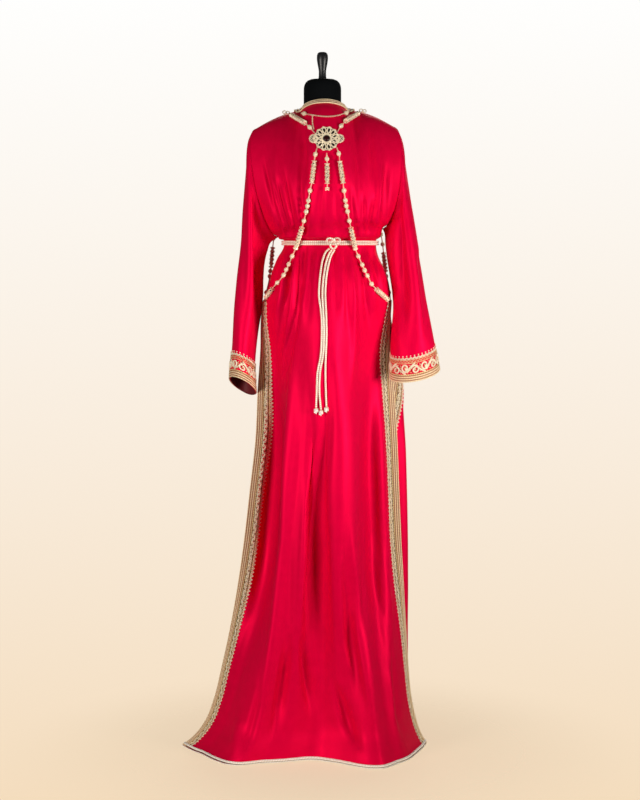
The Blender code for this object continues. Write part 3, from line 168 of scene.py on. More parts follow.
world = bpy.data.worlds.new("paleStudio")
world.use_nodes = True
bpy.context.scene.world = world
skyTree = world.node_tree
skyWay = addNode(skyTree, "ShaderNodeTexCoord")
skySplit = addNode(skyTree, "ShaderNodeSeparateXYZ", inputs={"Vector": skyWay.outputs["Generated"]})
skyHeight = addNode(skyTree, "ShaderNodeMapRange", inputs={
    "Value": skySplit.outputs["Z"], "From Min": -0.30, "From Max": 0.14})
skyRamp = addNode(skyTree, "ShaderNodeValToRGB", inputs={"Fac": skyHeight.outputs["Result"]})
skyRamp.color_ramp.elements[0].color = linear(studio["skyLow"])
skyRamp.color_ramp.elements[1].color = linear(studio["skyTop"])
seenSky = addNode(skyTree, "ShaderNodeBackground", inputs={
    "Color": skyRamp.outputs["Color"], "Strength": 1.0})
litSky = addNode(skyTree, "ShaderNodeBackground", inputs={
    "Color": linear("#FFF9F2"), "Strength": studio["skyStrength"]})
skyMix = addNode(skyTree, "ShaderNodeMixShader", inputs={
    0: addNode(skyTree, "ShaderNodeLightPath").outputs["Is Camera Ray"],
    1: litSky.outputs[0], 2: seenSky.outputs[0]})
feed(skyTree, skyTree.nodes["World Output"], {"Surface": skyMix.outputs[0]})

floorBm = bmesh.new()
bmesh.ops.create_circle(floorBm, cap_ends=True, segments=96, radius=studio["floorRadius"])
studioFloor = placed("studioFloor", meshOf("studioFloor", floorBm))
# Matt paper floor that fades into the pale wall
paper, tree, shader = newMaterial("mattPaperFloor", Base_Color=linear("#958772"), Roughness=0.9,
                                  Emission_Color=linear("#F4DEC0"), Emission_Strength=0.72)
place = addNode(tree, "ShaderNodeTexCoord")
away = addNode(tree, "ShaderNodeVectorMath", {"operation": "LENGTH"}, {0: place.outputs["Object"]})
fade = addNode(tree, "ShaderNodeMapRange", {"interpolation_type": "SMOOTHSTEP"}, {
    "Value": away.outputs["Value"], "From Min": 0.20, "From Max": studio["floorRadius"] * 0.9,
    "To Min": 1.0, "To Max": 0.0})
feed(tree, shader, {"Alpha": fade.outputs["Result"]})
studioFloor.data.materials.append(paper)
print("camera, light and floor are set")


# Materials

# Drawn coarser than the real ones: satin thread is 0.1 mm
fibre = {"satinThread": 0.0009, "slub": 0.020, "rib": 0.0015}

# Polyester satin, woven and pressed: long floats give broad soft highlights along the folds
satin, tree, shader = newMaterial(
    "redPolyesterSatin", Base_Color=linear("#D80038"), Roughness=0.47, Metallic=0.20, IOR=1.46,
    Specular_IOR_Level=0.15, Anisotropic=0.3, Specular_Tint=linear("#FF5A8C"), Sheen_Weight=0.04,
    Sheen_Roughness=0.35, Sheen_Tint=linear("#FF2A60"))
uv = addNode(tree, "ShaderNodeUVMap")
threads = addNode(tree, "ShaderNodeMapping", inputs={
    "Vector": uv.outputs["UV"], "Scale": (1 / fibre["satinThread"], 0.25 / fibre["satinThread"], 1)})
weave = addNode(tree, "ShaderNodeTexNoise", inputs={
    "Vector": threads.outputs["Vector"], "Scale": 1.0, "Detail": 2.0, "Roughness": 0.6})
slubs = addNode(tree, "ShaderNodeTexNoise", inputs={
    "Vector": uv.outputs["UV"], "Scale": 1 / fibre["slub"], "Detail": 3.0})
tone = addNode(tree, "ShaderNodeMix", {"data_type": "RGBA"}, {
    "Factor": slubs.outputs["Fac"], "A": linear("#DA0038"), "B": linear("#E80040")})
gloss = addNode(tree, "ShaderNodeMapRange", inputs={
    "Value": slubs.outputs["Fac"], "From Min": 0.3, "From Max": 0.7, "To Min": 0.45, "To Max": 0.53})
grain = addNode(tree, "ShaderNodeBump", inputs={
    "Height": weave.outputs["Fac"], "Strength": 0.10, "Distance": 0.0004})
feed(tree, shader, {"Base Color": tone.outputs["Result"], "Roughness": gloss.outputs["Result"],
                    "Normal": grain.outputs["Normal"]})

# The inside of the cloth: the same red, dull, painted dark as the shade inside the garment
paintedShadeInside = newMaterial("redInsidePaintedShade", Base_Color=linear("#64000F"), Roughness=0.7)[0]


def colourAndRelief(tree, shader, height, low, high, strength, distance, sunk=False):
    # one pattern gives both: the colour runs from low to high, and the surface rises, or sinks, with it, so
    # the colour is darker where the surface is lower: painted shade in the low spots
    colour = addNode(tree, "ShaderNodeMix", {"data_type": "RGBA"}, {
        "Factor": height, "A": linear(low), "B": linear(high)})
    relief = addNode(tree, "ShaderNodeBump", {"invert": sunk}, {
        "Height": height, "Strength": strength, "Distance": distance})
    feed(tree, shader, {"Base Color": colour.outputs["Result"], "Normal": relief.outputs["Normal"]})


def cordMaterial(name, light, dark, roughness, metallic, ply):
    # Twisted viscose cord: slanting plies, with painted shade darkening the grooves between them. UV: across
    # is a turn, along is metres
    material, tree, shader = newMaterial(name, Roughness=roughness, Metallic=metallic, IOR=1.5)
    uv = addNode(tree, "ShaderNodeUVMap")
    turned = addNode(tree, "ShaderNodeSeparateXYZ", inputs={"Vector": uv.outputs["UV"]})
    along = addNode(tree, "ShaderNodeMath", {"operation": "MULTIPLY"}, {0: turned.outputs["Y"], 1: 1 / ply})
    around = addNode(tree, "ShaderNodeMath", {"operation": "ADD"}, {
        0: along.outputs[0], 1: turned.outputs["X"]})
    wave = addNode(tree, "ShaderNodeMath", {"operation": "PINGPONG"}, {0: around.outputs[0], 1: 0.5})
    depth = addNode(tree, "ShaderNodeMapRange", {"interpolation_type": "SMOOTHSTEP"}, {
        "Value": wave.outputs[0], "From Min": 0.0, "From Max": 0.22})
    colourAndRelief(tree, shader, depth.outputs["Result"], dark, light, 0.8, 0.0005)
    return material


# each cord's second colour is the painted shade in the grooves between its plies
creamCord = cordMaterial("creamSilkCord", "#FFF8E8", "#DCA488", 0.42, 0.0, 0.0050)
pinkCord = cordMaterial("rosewoodTwistedCord", "#C4805E", "#70301E", 0.50, 0.0, 0.0036)
goldCord = cordMaterial("goldTwistedCord", "#F8E0A4", "#8A6430", 0.38, 0.1, 0.0046)
strawCord = cordMaterial("strawGoldCord", "#FFF0C8", "#DCA86C", 0.42, 0.0, 0.0040)
whiteCord = cordMaterial("paleGoldPiping", "#FFFEFA", "#E4CCB0", 0.45, 0.0, 0.0040)


def threadMaterial(name, light, dark, size, metallic):
    # Metallised embroidery thread: fine bright stitches, with painted shade darkening the gaps between them
    material, tree, shader = newMaterial(name, Roughness=0.36, Metallic=metallic, IOR=1.5)
    where = addNode(tree, "ShaderNodeTexCoord")
    stitches = addNode(tree, "ShaderNodeTexVoronoi", inputs={
        "Vector": where.outputs["Object"], "Scale": 1 / size, "Randomness": 0.8})
    gap = addNode(tree, "ShaderNodeMapRange", inputs={
        "Value": stitches.outputs["Distance"], "From Min": 0.15, "From Max": 0.62})
    colourAndRelief(tree, shader, gap.outputs["Result"], light, dark, 0.7, 0.0006, sunk=True)
    return material


# each thread's second colour is the painted shade in the gaps between its stitches
goldThread = threadMaterial("goldEmbroideryThread", "#FFF6D0", "#E0B470", 0.0016, 0.10)
paleThread = threadMaterial("paleGoldPicotThread", "#FFFFF8", "#F8E6C0", 0.0016, 0.0)
braidThread = threadMaterial("antiqueGoldBraid", "#FFF0CC", "#84522A", 0.0030, 0.05)

# Gilt brass filigree, cast and tumbled: a noise paints its colour near white on the raised grain as highlight
# and darker gold in the low spots as shade
gilt, tree, shader = newMaterial("giltBrassFiligree", Metallic=0.20, Roughness=0.32)
where = addNode(tree, "ShaderNodeTexCoord")
# noise that paints the gilt near white as highlight and darker as shade, with a matching relief
giltGlintAndShade = addNode(tree, "ShaderNodeTexNoise", inputs={
    "Vector": where.outputs["Object"], "Scale": 420.0, "Detail": 3.0})
colourAndRelief(tree, shader, giltGlintAndShade.outputs["Fac"], "#F8DCA4", "#FFFEF2", 0.35, 0.0004)

# Garnet glass, pressed and polished: almost black with a wine red glow
garnet = newMaterial("garnetGlass", Base_Color=linear("#2A0508"), Roughness=0.08, IOR=1.52)[0]
# Dark brass in the bar cores, the medallion's dish and its lobes: painted shade behind the openwork filigree
paintedShadeBrass = newMaterial("darkBrassPaintedShade", Base_Color=linear("#30241A"), Roughness=0.55, Metallic=0.5)[0]
# Pink silk link thread between the beads
linkThread = newMaterial("roseLinkThread", Base_Color=linear("#F6BCA8"), Roughness=0.45)[0]

# Cotton jersey, circular knit: matt black with fine ribs, which are drawn 1.5 mm apart so that they show
jersey, tree, shader = newMaterial("blackCottonJersey", Base_Color=linear("#04070A"), Roughness=0.9,
                                   Specular_IOR_Level=0.12)
where = addNode(tree, "ShaderNodeTexCoord")
ribs = addNode(tree, "ShaderNodeTexWave", {"bands_direction": "Z", "wave_type": "BANDS"}, {
    "Vector": where.outputs["Object"], "Scale": 1 / fibre["rib"] / 6.28, "Distortion": 1.2, "Detail": 2.0})
knit = addNode(tree, "ShaderNodeBump", inputs={
    "Height": ribs.outputs["Fac"], "Strength": 0.25, "Distance": 0.0004})
feed(tree, shader, {"Normal": knit.outputs["Normal"]})

# Powder-coated steel: satin black with a slight orange peel
coated, tree, shader = newMaterial("blackPowderCoatedSteel", Base_Color=linear("#14161A"),
                                   Roughness=0.38, IOR=1.5)
where = addNode(tree, "ShaderNodeTexCoord")
peel = addNode(tree, "ShaderNodeTexNoise", inputs={
    "Vector": where.outputs["Object"], "Scale": 500.0, "Detail": 1.0})
skin = addNode(tree, "ShaderNodeBump", inputs={
    "Height": peel.outputs["Fac"], "Strength": 0.12, "Distance": 0.0003})
feed(tree, shader, {"Normal": skin.outputs["Normal"]})
print("materials are ready")


# The cut pieces of cloth, read from the frame as rows and columns of points

def readGrid(name, shortEdge, wraps):     # shortEdge tells a wall's rim from its faces
    bm = frameMesh(name)
    rims = {f for e in bm.edges if e.calc_length() < shortEdge for f in e.link_faces}
    left = set(bm.faces) - rims
    layers = []
    while left:
        layer, edgeOf = set(), [left.pop()]
        while edgeOf:
            face = edgeOf.pop()
            layer.add(face)
            near = {f for e in face.edges for f in e.link_faces} & left
            left -= near
            edgeOf += near
        layers.append(layer)
    outer = max(layers, key=lambda faces: sum(f.calc_area() for f in faces))
    edges = {e for f in outer for e in f.edges}
    rim = {e for e in edges if sum(f in outer for f in e.link_faces) == 1}
    nextTo, along = {}, {}
    for e in edges:
        for v in e.verts:
            nextTo.setdefault(v, set()).add(e.other_vert(v))
            if e in rim:
                along.setdefault(v, set()).add(e.other_vert(v))
    count = {v: sum(f in outer for f in v.link_faces) for v in along}

    def walk(start, second, stop):
        line = [start, second]
        while not stop(line[-1]):
            line += [v for v in along[line[-1]] if v is not line[-2]][:1]
        return line

    if wraps:
        start = max(along, key=lambda v: v.co.z)
        second = min(along[start], key=lambda v: v.co.y)
        first = walk(start, second, lambda v: start in along[v] and v is not second)
        sides = None
    else:
        start = max((v for v in along if count[v] == 2 and len(nextTo[v]) == 3), key=lambda v: v.co.z)
        lines = [walk(start, v, lambda v: count[v] == 1) for v in along[start]]
        first, sides = sorted(lines, key=lambda line: -line[-1].co.z)
    rows = [first]
    used = set(first)
    while len(rows) * len(first) < len(nextTo):
        above = rows[-1]
        head = sides[len(rows)] if sides else (nextTo[above[0]] & nextTo[above[-1]] - used).pop()
        row = [head]
        used.add(head)
        for over in above[1:]:
            row.append((nextTo[over] & nextTo[row[-1]] - used).pop())
            used.add(row[-1])
        rows.append(row)
    points = np.array([[v.co[:] for v in row] for row in rows])
    bm.free()
    return points


def steps(points, axis):        # mean distance from each row, or column, to the next, added up
    gaps = np.linalg.norm(np.diff(points, axis=axis), axis=2).mean(axis=1 - axis)
    return np.concatenate([[0], np.cumsum(gaps)])


def throughPoints(points, keys, at):        # a smooth curve through points, read at other keys
    slopes = np.gradient(points, keys, axis=0)
    i = np.clip(np.searchsorted(keys, at, side="right") - 1, 0, len(keys) - 2)
    h = (keys[i + 1] - keys[i]).reshape((-1,) + (1,) * (points.ndim - 1))
    t = ((at - keys[i]) / h.ravel()).reshape(h.shape)
    return ((1 + 2 * t) * (1 - t) ** 2 * points[i] + t * (1 - t) ** 2 * h * slopes[i]
            + t * t * (3 - 2 * t) * points[i + 1] + t * t * (t - 1) * h * slopes[i + 1])


def surfaceNormals(points, wraps, outwards):
    down = np.gradient(points, axis=0)
    if wraps:
        wide = np.concatenate([points[:, -2:-1], points, points[:, 1:2]], axis=1)
        across = (wide[:, 2:] - wide[:, :-2]) / 2
    else:
        across = np.gradient(points, axis=1)
    normals = np.cross(across, down)
    normals /= np.maximum(np.linalg.norm(normals, axis=2, keepdims=True), 1e-9)
    return -normals if (normals * outwards).sum() < 0 else normals


draping = {     # metres
    "wall": 0.0014, "rimEdge": 0.004, "formGap": 0.004, "formReach": 0.05, "trimWidth": 0.022,
    "trimFade": 0.016, "hemFade": 0.020, "cuffWidth": 0.066, "sleeveFade": 0.03, "sideFade": 0.020,
    "frontShare": 0.7,
}
formMesh = frameMesh("form_torso")
formTree = BVHTree.FromBMesh(formMesh)
formMesh.free()


def aboveForm(points, normals, heights):       # a crease ends before the form underneath
    for r, c in np.argwhere(heights < -0.0005):
        hit = formTree.ray_cast(Vector(points[r, c]), Vector(-normals[r, c]), draping["formReach"])[3]
        if hit is not None:
            heights[r, c] = max(heights[r, c], min(0.0, draping["formGap"] - hit))
    return heights


def makeSurface(name, rowStep, columnCount, creases, outwards):
    # a fine grid over the cloth, with its creases, and its keys in metres down and across
    wraps = outwards is None
    grid = readGrid(name, draping["rimEdge"], wraps)
    if wraps:
        grid = np.concatenate([grid, grid[:, :1]], axis=1)
    rows, columns = steps(grid, 0), steps(grid if wraps else grid[-12:], 1)
    fineRows = np.linspace(0, rows[-1], int(rows[-1] / rowStep) + 1)
    fineColumns = np.linspace(0, columns[-1], columnCount)
    wide, wideKeys = grid, columns
    if wraps:
        wide = np.concatenate([grid[:, -3:-1], grid, grid[:, 1:3]], axis=1)
        wideKeys = np.concatenate([columns[-3:-1] - columns[-1], columns, columns[-1] + columns[1:3]])
    fine = throughPoints(wide, rows, fineRows)
    fine = throughPoints(fine.transpose(1, 0, 2), wideKeys, fineColumns).transpose(1, 0, 2)
    normals = surfaceNormals(fine, wraps, fine - fine.mean(1, keepdims=True) if wraps else outwards)
    heights = aboveForm(fine, normals, creases(fine, fineRows, fineColumns))
    fine = fine + normals * heights[:, :, None]
    normals = surfaceNormals(fine, wraps, normals)
    return {"rows": fineRows, "columns": fineColumns, "points": fine, "normals": normals, "wraps": wraps,
            "rowKeys": rows}


def onSurface(surface, down, across, lift=0.0):      # places on the cloth, raised by lift
    down, across = np.broadcast_arrays(down, across)
    rows, columns = surface["rows"], surface["columns"]
    r = np.interp(down, rows, np.arange(len(rows)))
    c = np.interp(across, columns, np.arange(len(columns)))
    i = np.minimum(r.astype(int), len(rows) - 2)
    j = np.minimum(c.astype(int), len(columns) - 2)
    s, t = (r - i)[..., None], (c - j)[..., None]
    found = []
    for grid in (surface["points"], surface["normals"]):
        found.append((1 - s) * ((1 - t) * grid[i, j] + t * grid[i, j + 1])
                     + s * ((1 - t) * grid[i + 1, j] + t * grid[i + 1, j + 1]))
    return found[0] + found[1] * np.asarray(lift)[..., None]


def clothPiece(name, surface):
    rowCount, columnCount = surface["points"].shape[:2]
    bm = bmesh.new()
    bmesh.ops.create_grid(bm, x_segments=columnCount - 1, y_segments=rowCount - 1, size=1.0)
    bm.verts.ensure_lookup_table()
    for v, place in zip(bm.verts, surface["points"].reshape(-1, 3)):
        v.co = place
    uvLayer = bm.loops.layers.uv.new("UVMap")
    for face in bm.faces:
        for loop in face.loops:
            r, c = divmod(loop.vert.index, columnCount)
            loop[uvLayer].uv = (surface["columns"][c], -surface["rows"][r])
    bm.faces.ensure_lookup_table()
    middle = bm.faces[len(bm.faces) // 2]
    middle.normal_update()
    r, c = divmod(middle.verts[0].index, columnCount)
    if middle.normal.dot(Vector(surface["normals"][r, c])) < 0:
        bmesh.ops.reverse_faces(bm, faces=bm.faces)
    if surface["wraps"]:
        bmesh.ops.remove_doubles(bm, verts=bm.verts, dist=1e-6)
    piece = addPiece(name + "Cloth", meshOf(name + "Cloth", bm), [satin, paintedShadeInside], name)
    wall = piece.modifiers.new("clothWall", "SOLIDIFY")
    wall.thickness = draping["wall"]
    wall.offset = -1
    wall.use_even_offset = False
    # the inner faces take the second material, the dark red painted shade
    wall.material_offset = 1
    return piece


# Creases as seen from behind, in mm: x and z down the cloth, the width to the left and right, and the height

beltEdges = (1.255, 1.270, 1.290)       # creases that start or end at the belt keep their depth there


def creaseHeights(points, creases):
    x, z = points[..., 0], points[..., 2]
    total = np.zeros(x.shape)
    for crease in creases:
        *path, left, right, height = 0.001 * np.array(crease)
        path = np.reshape(path, (-1, 2))
        head, foot = path[0, 1], path[-1, 1]
        aside = x - np.interp(-z, -path[:, 1], path[:, 0])
        t = (head - z) / (head - foot)
        fade = ease(t * (8.0 if beltEdges[0] < head < beltEdges[1] else 2.4))
        fade *= ease((1 - t) * (7.0 if beltEdges[1] < foot < beltEdges[2] else 2.4))
        width = np.where(aside < 0, left, right) * (0.75 + 0.5 * np.clip(t, 0, 1))
        total += height * fade * np.exp(-(aside / width) ** 2)
    return total


backCreases = [
    (-53, 1562, -47, 1500, -47, 1400, 12, 5, -7.5),
    (-66, 1560, -62, 1480, -64, 1380, 10, 8, 4.5),
    (-150, 1490, -126, 1376, -98, 1281, 5, 8, -8),
    (-133, 1455, -109, 1352, -86, 1281, 5, 7, -7.5),
    (-119, 1445, -92, 1340, -76, 1281, 4, 6, -7),
    (-99, 1465, -80, 1352, -66, 1281, 5, 7, -6.5),
    (-141, 1470, -117, 1365, -92, 1281, 6, 5, 5),
    (-108, 1450, -86, 1345, -71, 1281, 6, 5, 4.5),
    (-40, 1420, -45, 1350, -50, 1281, 6, 9, -4.5),
    (0, 1430, -8, 1350, -12, 1281, 9, 7, -4.5),
    (28, 1400, 30, 1340, 34, 1281, 7, 9, -4.5),
    (64, 1420, 70, 1350, 77, 1281, 8, 6, -5.5),
    (94, 1400, 95, 1340, 97, 1281, 6, 6, -6),
    (128, 1400, 114, 1320, 106, 1281, 7, 5, -6.5),
    (104, 1560, 113, 1508, 122, 1400, 6, 10, -6),
    (150, 1480, 148, 1376, 138, 1290, 7, 10, -9),
    (136, 1470, 134, 1376, 122, 1290, 8, 7, 5.5),
    (-50, 1264, -53, 1200, -60, 1120, 5, 8, -8),
    (-62, 1264, -68, 1110, -90, 1004, -105, 900, 5, 9, -12.5),
    (-79, 1264, -92, 1140, -106, 1057, -124, 930, 5, 9, -12.5),
    (-70, 1264, -80, 1120, -98, 1020, -114, 920, 6, 6, 6),
    (-89, 1264, -108, 1140, -128, 1050, 6, 6, 5),
    (-30, 1264, -36, 1180, -42, 1060, 6, 10, -5.5),
    (22, 1264, 26, 1190, 30, 1080, 6, 10, -6),
    (48, 1264, 56, 1160, 58, 1040, 6, 8, -5.5),
    (62, 1264, 72, 1136, 72, 1016, 65, 880, 7, 9, 6),
    (85, 1264, 100, 1170, 112, 1040, 7, 6, -7),
    (100, 1264, 114, 1190, 130, 1090, 6, 6, 5),
    (112, 1264, 132, 1190, 148, 1120, 7, 5, -6.5),
    (-63, 1100, -80, 953, -90, 750, -98, 554, -124, 345, -154, 130, -185, 30, 9, 18, 16),
    (60, 640, 65, 500, 78, 345, 120, 110, 146, 14, 9, 20, 15),
    (45, 600, 50, 450, 62, 300, 98, 110, 10, 20, -12),
    (-36, 980, -34, 725, -26, 505, -34, 308, -44, 110, 14, 34, -32),
    (6, 960, 13, 700, 22, 554, 26, 380, 32, 200, 11, 60, 16),
    (-66, 940, -70, 700, -74, 480, -88, 280, 12, 12, 5),
    (-124, 1060, -128, 895, -141, 701, -156, 505, -176, 308, -214, 140, 10, 30, -31),
    (112, 980, 116, 700, 124, 450, 140, 240, 18, 14, -12),
    (132, 1000, 140, 760, 148, 520, 10, 10, 5),
    (-86, 330, -108, 160, -126, 45, 10, 16, -17),
    (-60, 340, -39, 184, -26, 90, 10, 14, -15),
    (20, 210, 54, 97, 90, 30, 10, 14, -14),
    (168, 300, 183, 100, 206, 30, 6, 8, -7),
    (156, 260, 170, 110, 192, 30, 7, 7, 6),
    (-205, 120, -215, 60, -232, 14, 12, 12, 6),
    (-150, 200, -180, 90, -200, 14, 10, 12, -8),
]
sleeveCreases = {
    "left": [
        (-168, 1500, -166, 1376, -164, 1231, -162, 1062, -162, 990, 7, 24, -17),
        (-180, 1500, -179, 1376, -178, 1231, -178, 1062, -178, 990, 10, 8, 6),
        (-190, 1400, -200, 1200, -206, 1010, 10, 14, -5),
        (-200, 1300, -214, 1150, -222, 1000, 8, 10, 4),
    ],
    "right": [
        (176, 1490, 181, 1376, 187, 1231, 195, 1062, 200, 985, 8, 14, -10),
        (164, 1440, 168, 1300, 172, 1120, 176, 985, 10, 8, 5),
        (196, 1420, 212, 1260, 230, 1100, 240, 985, 14, 18, 7),
        (226, 1260, 244, 1120, 256, 1000, 8, 12, -5),
    ],
}
frontCreases = [
    (-60, 1264, -80, 1100, -100, 900, 7, 10, -8),
    (-35, 1264, -45, 1100, -50, 820, 7, 12, -7),
    (50, 1264, 62, 1090, 70, 840, 10, 7, -8),
    (80, 1264, 104, 1100, 124, 930, 9, 7, -8),
    (-110, 1440, -85, 1340, -70, 1281, 6, 8, -7),
    (120, 1430, 98, 1340, 84, 1281, 8, 6, -7),
    (-110, 860, -118, 500, -136, 100, 20, 14, -12),
    (-60, 800, -64, 450, -74, 120, 14, 18, 10),
    (90, 840, 100, 480, 112, 110, 14, 20, -12),
    (50, 760, 52, 420, 58, 120, 16, 12, 9),
]


def panelHeights(creases):      # the trims along the slits stay smooth, and so do the hems
    def heights(points, rows, columns):
        edge = np.minimum(columns, columns[-1] - columns)
        calm = ease((edge - draping["trimWidth"]) / draping["trimFade"])[None, :]
        return creaseHeights(points, creases) * calm * ease((rows[-1] - rows) / draping["hemFade"])[:, None]
    return heights


def sleeveHeights(creases):     # the shoulder and the cuff stay smooth, and so do the sides
    def heights(points, rows, columns):
        behind = (points[:, :-1].mean(axis=1, keepdims=True) - points)[..., 1] / draping["sideFade"]
        found = creaseHeights(points, creases) * (ease(behind) + draping["frontShare"] * ease(-behind))
        cuffTop = rows[-1] - draping["cuffWidth"]
        calm = ease(rows / draping["sleeveFade"]) * ease((cuffTop - rows) / draping["sleeveFade"])
        return found * calm[:, None]
    return heights


cuts = {        # row step, columns, creases and the way out: a sleeve wraps, and faces away from its middle
    "back_panel": (0.0080, 200, panelHeights(backCreases), (0, -1.0, 0)),
    "front_left": (0.0090, 70, panelHeights(frontCreases), (0, 1.0, 0)),
    "front_right": (0.0090, 70, panelHeights(frontCreases), (0, 1.0, 0)),
    "sleeve_left": (0.0060, 97, sleeveHeights(sleeveCreases["left"]), None),
    "sleeve_right": (0.0060, 97, sleeveHeights(sleeveCreases["right"]), None),
}
surfaces = {name: makeSurface(name, *cut) for name, cut in cuts.items()}
clothPieces = {name: clothPiece(name, surface) for name, surface in surfaces.items()}
print("cloth is draped")


# Small parts are made once, as arrays of corners and faces, then set in rows and joined into one mesh

def finished(bm):       # a closed template: its corners, and its faces as triangles
    bmesh.ops.remove_doubles(bm, verts=bm.verts, dist=1e-6)
    bmesh.ops.triangulate(bm, faces=bm.faces)
    bmesh.ops.recalc_face_normals(bm, faces=bm.faces)
    bm.verts.index_update()
    corners = np.array([v.co[:] for v in bm.verts])
    faces = np.array([[v.index for v in f.verts] for f in bm.faces])
    bm.free()
    return corners, faces


def turned(profile, sides, flutes=0, depth=0.0):      # (radius, height) in mm from pole to pole, spun round Z
    bm = bmesh.new()
    line = [bm.verts.new((radius, 0, height)) for radius, height in profile]
    edges = [bm.edges.new(pair) for pair in zip(line, line[1:])]
    bmesh.ops.spin(bm, geom=line + edges, axis=(0, 0, 1), cent=(0, 0, 0), steps=sides, angle=fullTurn,
                   use_merge=True)
    corners, faces = finished(bm)
    if flutes:
        turn = np.arctan2(corners[:, 1], corners[:, 0])
        corners[:, :2] *= (1 + depth * np.cos(flutes * turn))[:, None]
    return corners * 0.001, faces


def ball(radius, sides=8, rings=5, stretch=(1, 1, 1)):
    bm = bmesh.new()
    bmesh.ops.create_uvsphere(bm, u_segments=sides, v_segments=rings, radius=radius)
    bmesh.ops.scale(bm, vec=stretch, verts=bm.verts)
    return finished(bm)


def scatter(template, places=(0, 0, 0), ups=(0, 1.0, 0), ways=(0, 0, 1.0), sizes=1.0, material=0):
    # copies of a template: its Z goes along ways, its Y along ups
    corners, faces = template
    places = np.atleast_2d(np.asarray(places, float))
    count = len(places)
    ways = unit(np.broadcast_to(ways, (count, 3)))
    sides = unit(np.cross(np.broadcast_to(ups, (count, 3)), ways))
    ups = np.cross(ways, sides)
    frames = np.stack([sides, ups, ways], axis=2) * np.broadcast_to(sizes, count)[:, None, None]
    points = np.einsum("nij,vj->nvi", frames, corners) + places[:, None]
    shifts = (np.arange(count) * len(corners))[:, None, None]
    return {"points": points.reshape(-1, 3), "faces": [(faces[None] + shifts).reshape(-1, 3)],
            "uvs": None, "material": material}


def carried(along):     # a direction across a path, turned as little as possible on its way
    ups = [unit(np.cross(along[0], (0.3, 0.5, 0.8)))]
    for way in along[1:]:
        ups.append(unit(ups[-1] - way * (ups[-1] @ way)))
    return np.array(ups)


def tube(path, radius, sides=8, ups=None, closed=False, flat=1.0, material=0):
    path = np.asarray(path, float)
    count = len(path)
    along = np.roll(path, -1, axis=0) - np.roll(path, 1, axis=0)
    if not closed:
        along[0], along[-1] = path[1] - path[0], path[-1] - path[-2]
    along = unit(along)
    ups = carried(along) if ups is None else np.broadcast_to(ups, (count, 3))
    side = unit(np.cross(along, ups))
    ups = np.cross(side, along)
    turns = fullTurn * np.arange(sides) / sides
    ring = np.cos(turns)[None, :, None] * side[:, None] + flat * np.sin(turns)[None, :, None] * ups[:, None]
    radius = np.broadcast_to(radius, count)[:, None, None]
    points = (path[:, None] + radius * ring).reshape(-1, 3)
    i, k = np.meshgrid(np.arange(count if closed else count - 1), np.arange(sides), indexing="ij")
    j, n = (i + 1) % count, (k + 1) % sides
    walls = np.stack([i * sides + k, j * sides + k, j * sides + n, i * sides + n], axis=2).reshape(-1, 4)
    run = runOf(np.vstack([path, path[:1]]))
    turn = np.stack([k, k, k + 1, k + 1], axis=2).reshape(-1, 4) / sides
    far = np.stack([run[i], run[i + 1], run[i + 1], run[i]], axis=2).reshape(-1, 4)
    faces, uvs = [walls], [np.stack([turn, far], axis=2)]
    if not closed:
        first = np.arange(sides)[None]
        faces += [first, first[:, ::-1] + (count - 1) * sides]
        uvs += [np.zeros((1, sides, 2)), np.full((1, sides, 2), run[-2])]
    return {"points": points, "faces": faces, "uvs": uvs, "material": material}


def joinedPiece(name, parts, materials, replaced):
    points = np.concatenate([p["points"] for p in parts])
    faces, uvs, kinds, offset = [], [], [], 0
    for p in parts:
        for k, group in enumerate(p["faces"]):
            faces += (group + offset).tolist()
            kinds.append(np.full(len(group), p["material"]))
            uvs.append(p["uvs"][k].reshape(-1, 2) if p["uvs"] else np.zeros((group.size, 2)))
        offset += len(p["points"])
    mesh = bpy.data.meshes.new(name)
    mesh.from_pydata(points, [], faces)
    mesh.uv_layers.new(name="UVMap").data.foreach_set("uv", np.concatenate(uvs).ravel().astype(np.float32))
    mesh.polygons.foreach_set("material_index", np.concatenate(kinds).astype(np.int32))
    bm = bmesh.new()
    bm.from_mesh(mesh)
    bmesh.ops.recalc_face_normals(bm, faces=bm.faces)
    bm.to_mesh(mesh)
    bm.free()
    return addPiece(name, mesh, materials, replaced)


# A band is a strip of cloth along an edge. Its parts are drawn flat, as (along, in from the edge, height)

def makeBand(surface, start, stop, edge, mean, kind):       # down a side edge by its rows, or round a mouth
    keys = np.linspace(start, stop, 200)
    inside = abs(edge - mean)
    middle = onSurface(surface, keys, inside) if kind == "side" else onSurface(surface, inside, keys)
    run = runOf(middle)
    return {"surface": surface, "run": run, "keys": keys, "edge": edge, "kind": kind, "length": run[-1]}


def onBand(band, flat):
    key = np.interp(flat[:, 0], band["run"], band["keys"])
    if band["kind"] == "side":
        return onSurface(band["surface"], key, np.abs(band["edge"] - flat[:, 1]), flat[:, 2])
    return onSurface(band["surface"], band["edge"] - flat[:, 1], key % band["keys"][-1], flat[:, 2])


def bandPiece(name, band, parts, materials, replaced):
    for p in parts:
        p["points"] = onBand(band, p["points"])
    return joinedPiece(name, parts, materials, replaced)


def line(start, stop, across, height, step=0.005):
    return pointsOf(np.linspace(start, stop, max(3, int((stop - start) / step))), across, height)


def spiral(middle, radii, turns, count):
    angle = np.radians(np.linspace(*turns, count))
    r = np.linspace(*radii, count)
    return pointsOf(middle[0] + r * np.cos(angle), middle[1] + r * np.sin(angle), middle[2])


def repeated(part, starts):     # flat copies of a part along a band
    return [{**part, "points": part["points"] + (start, 0, 0)} for start in starts]


leaf = ball(1.0, 6, 4, (0.38, 0.30, 1.0))
pearl = ball(1.0, 6, 4)
flatUp = (0, 0, 1.0)


def leaves(places, angle, size, material):        # flat leaves, turned in the plane of the band
    way = (math.cos(angle), math.sin(angle), 0)
    return scatter(leaf, places, ups=flatUp, ways=way, sizes=size, material=material)


def straightThread(length, across, height, radius, sides, material):
    return tube(line(0.0, length, across, height), radius, sides, flatUp, material=material)


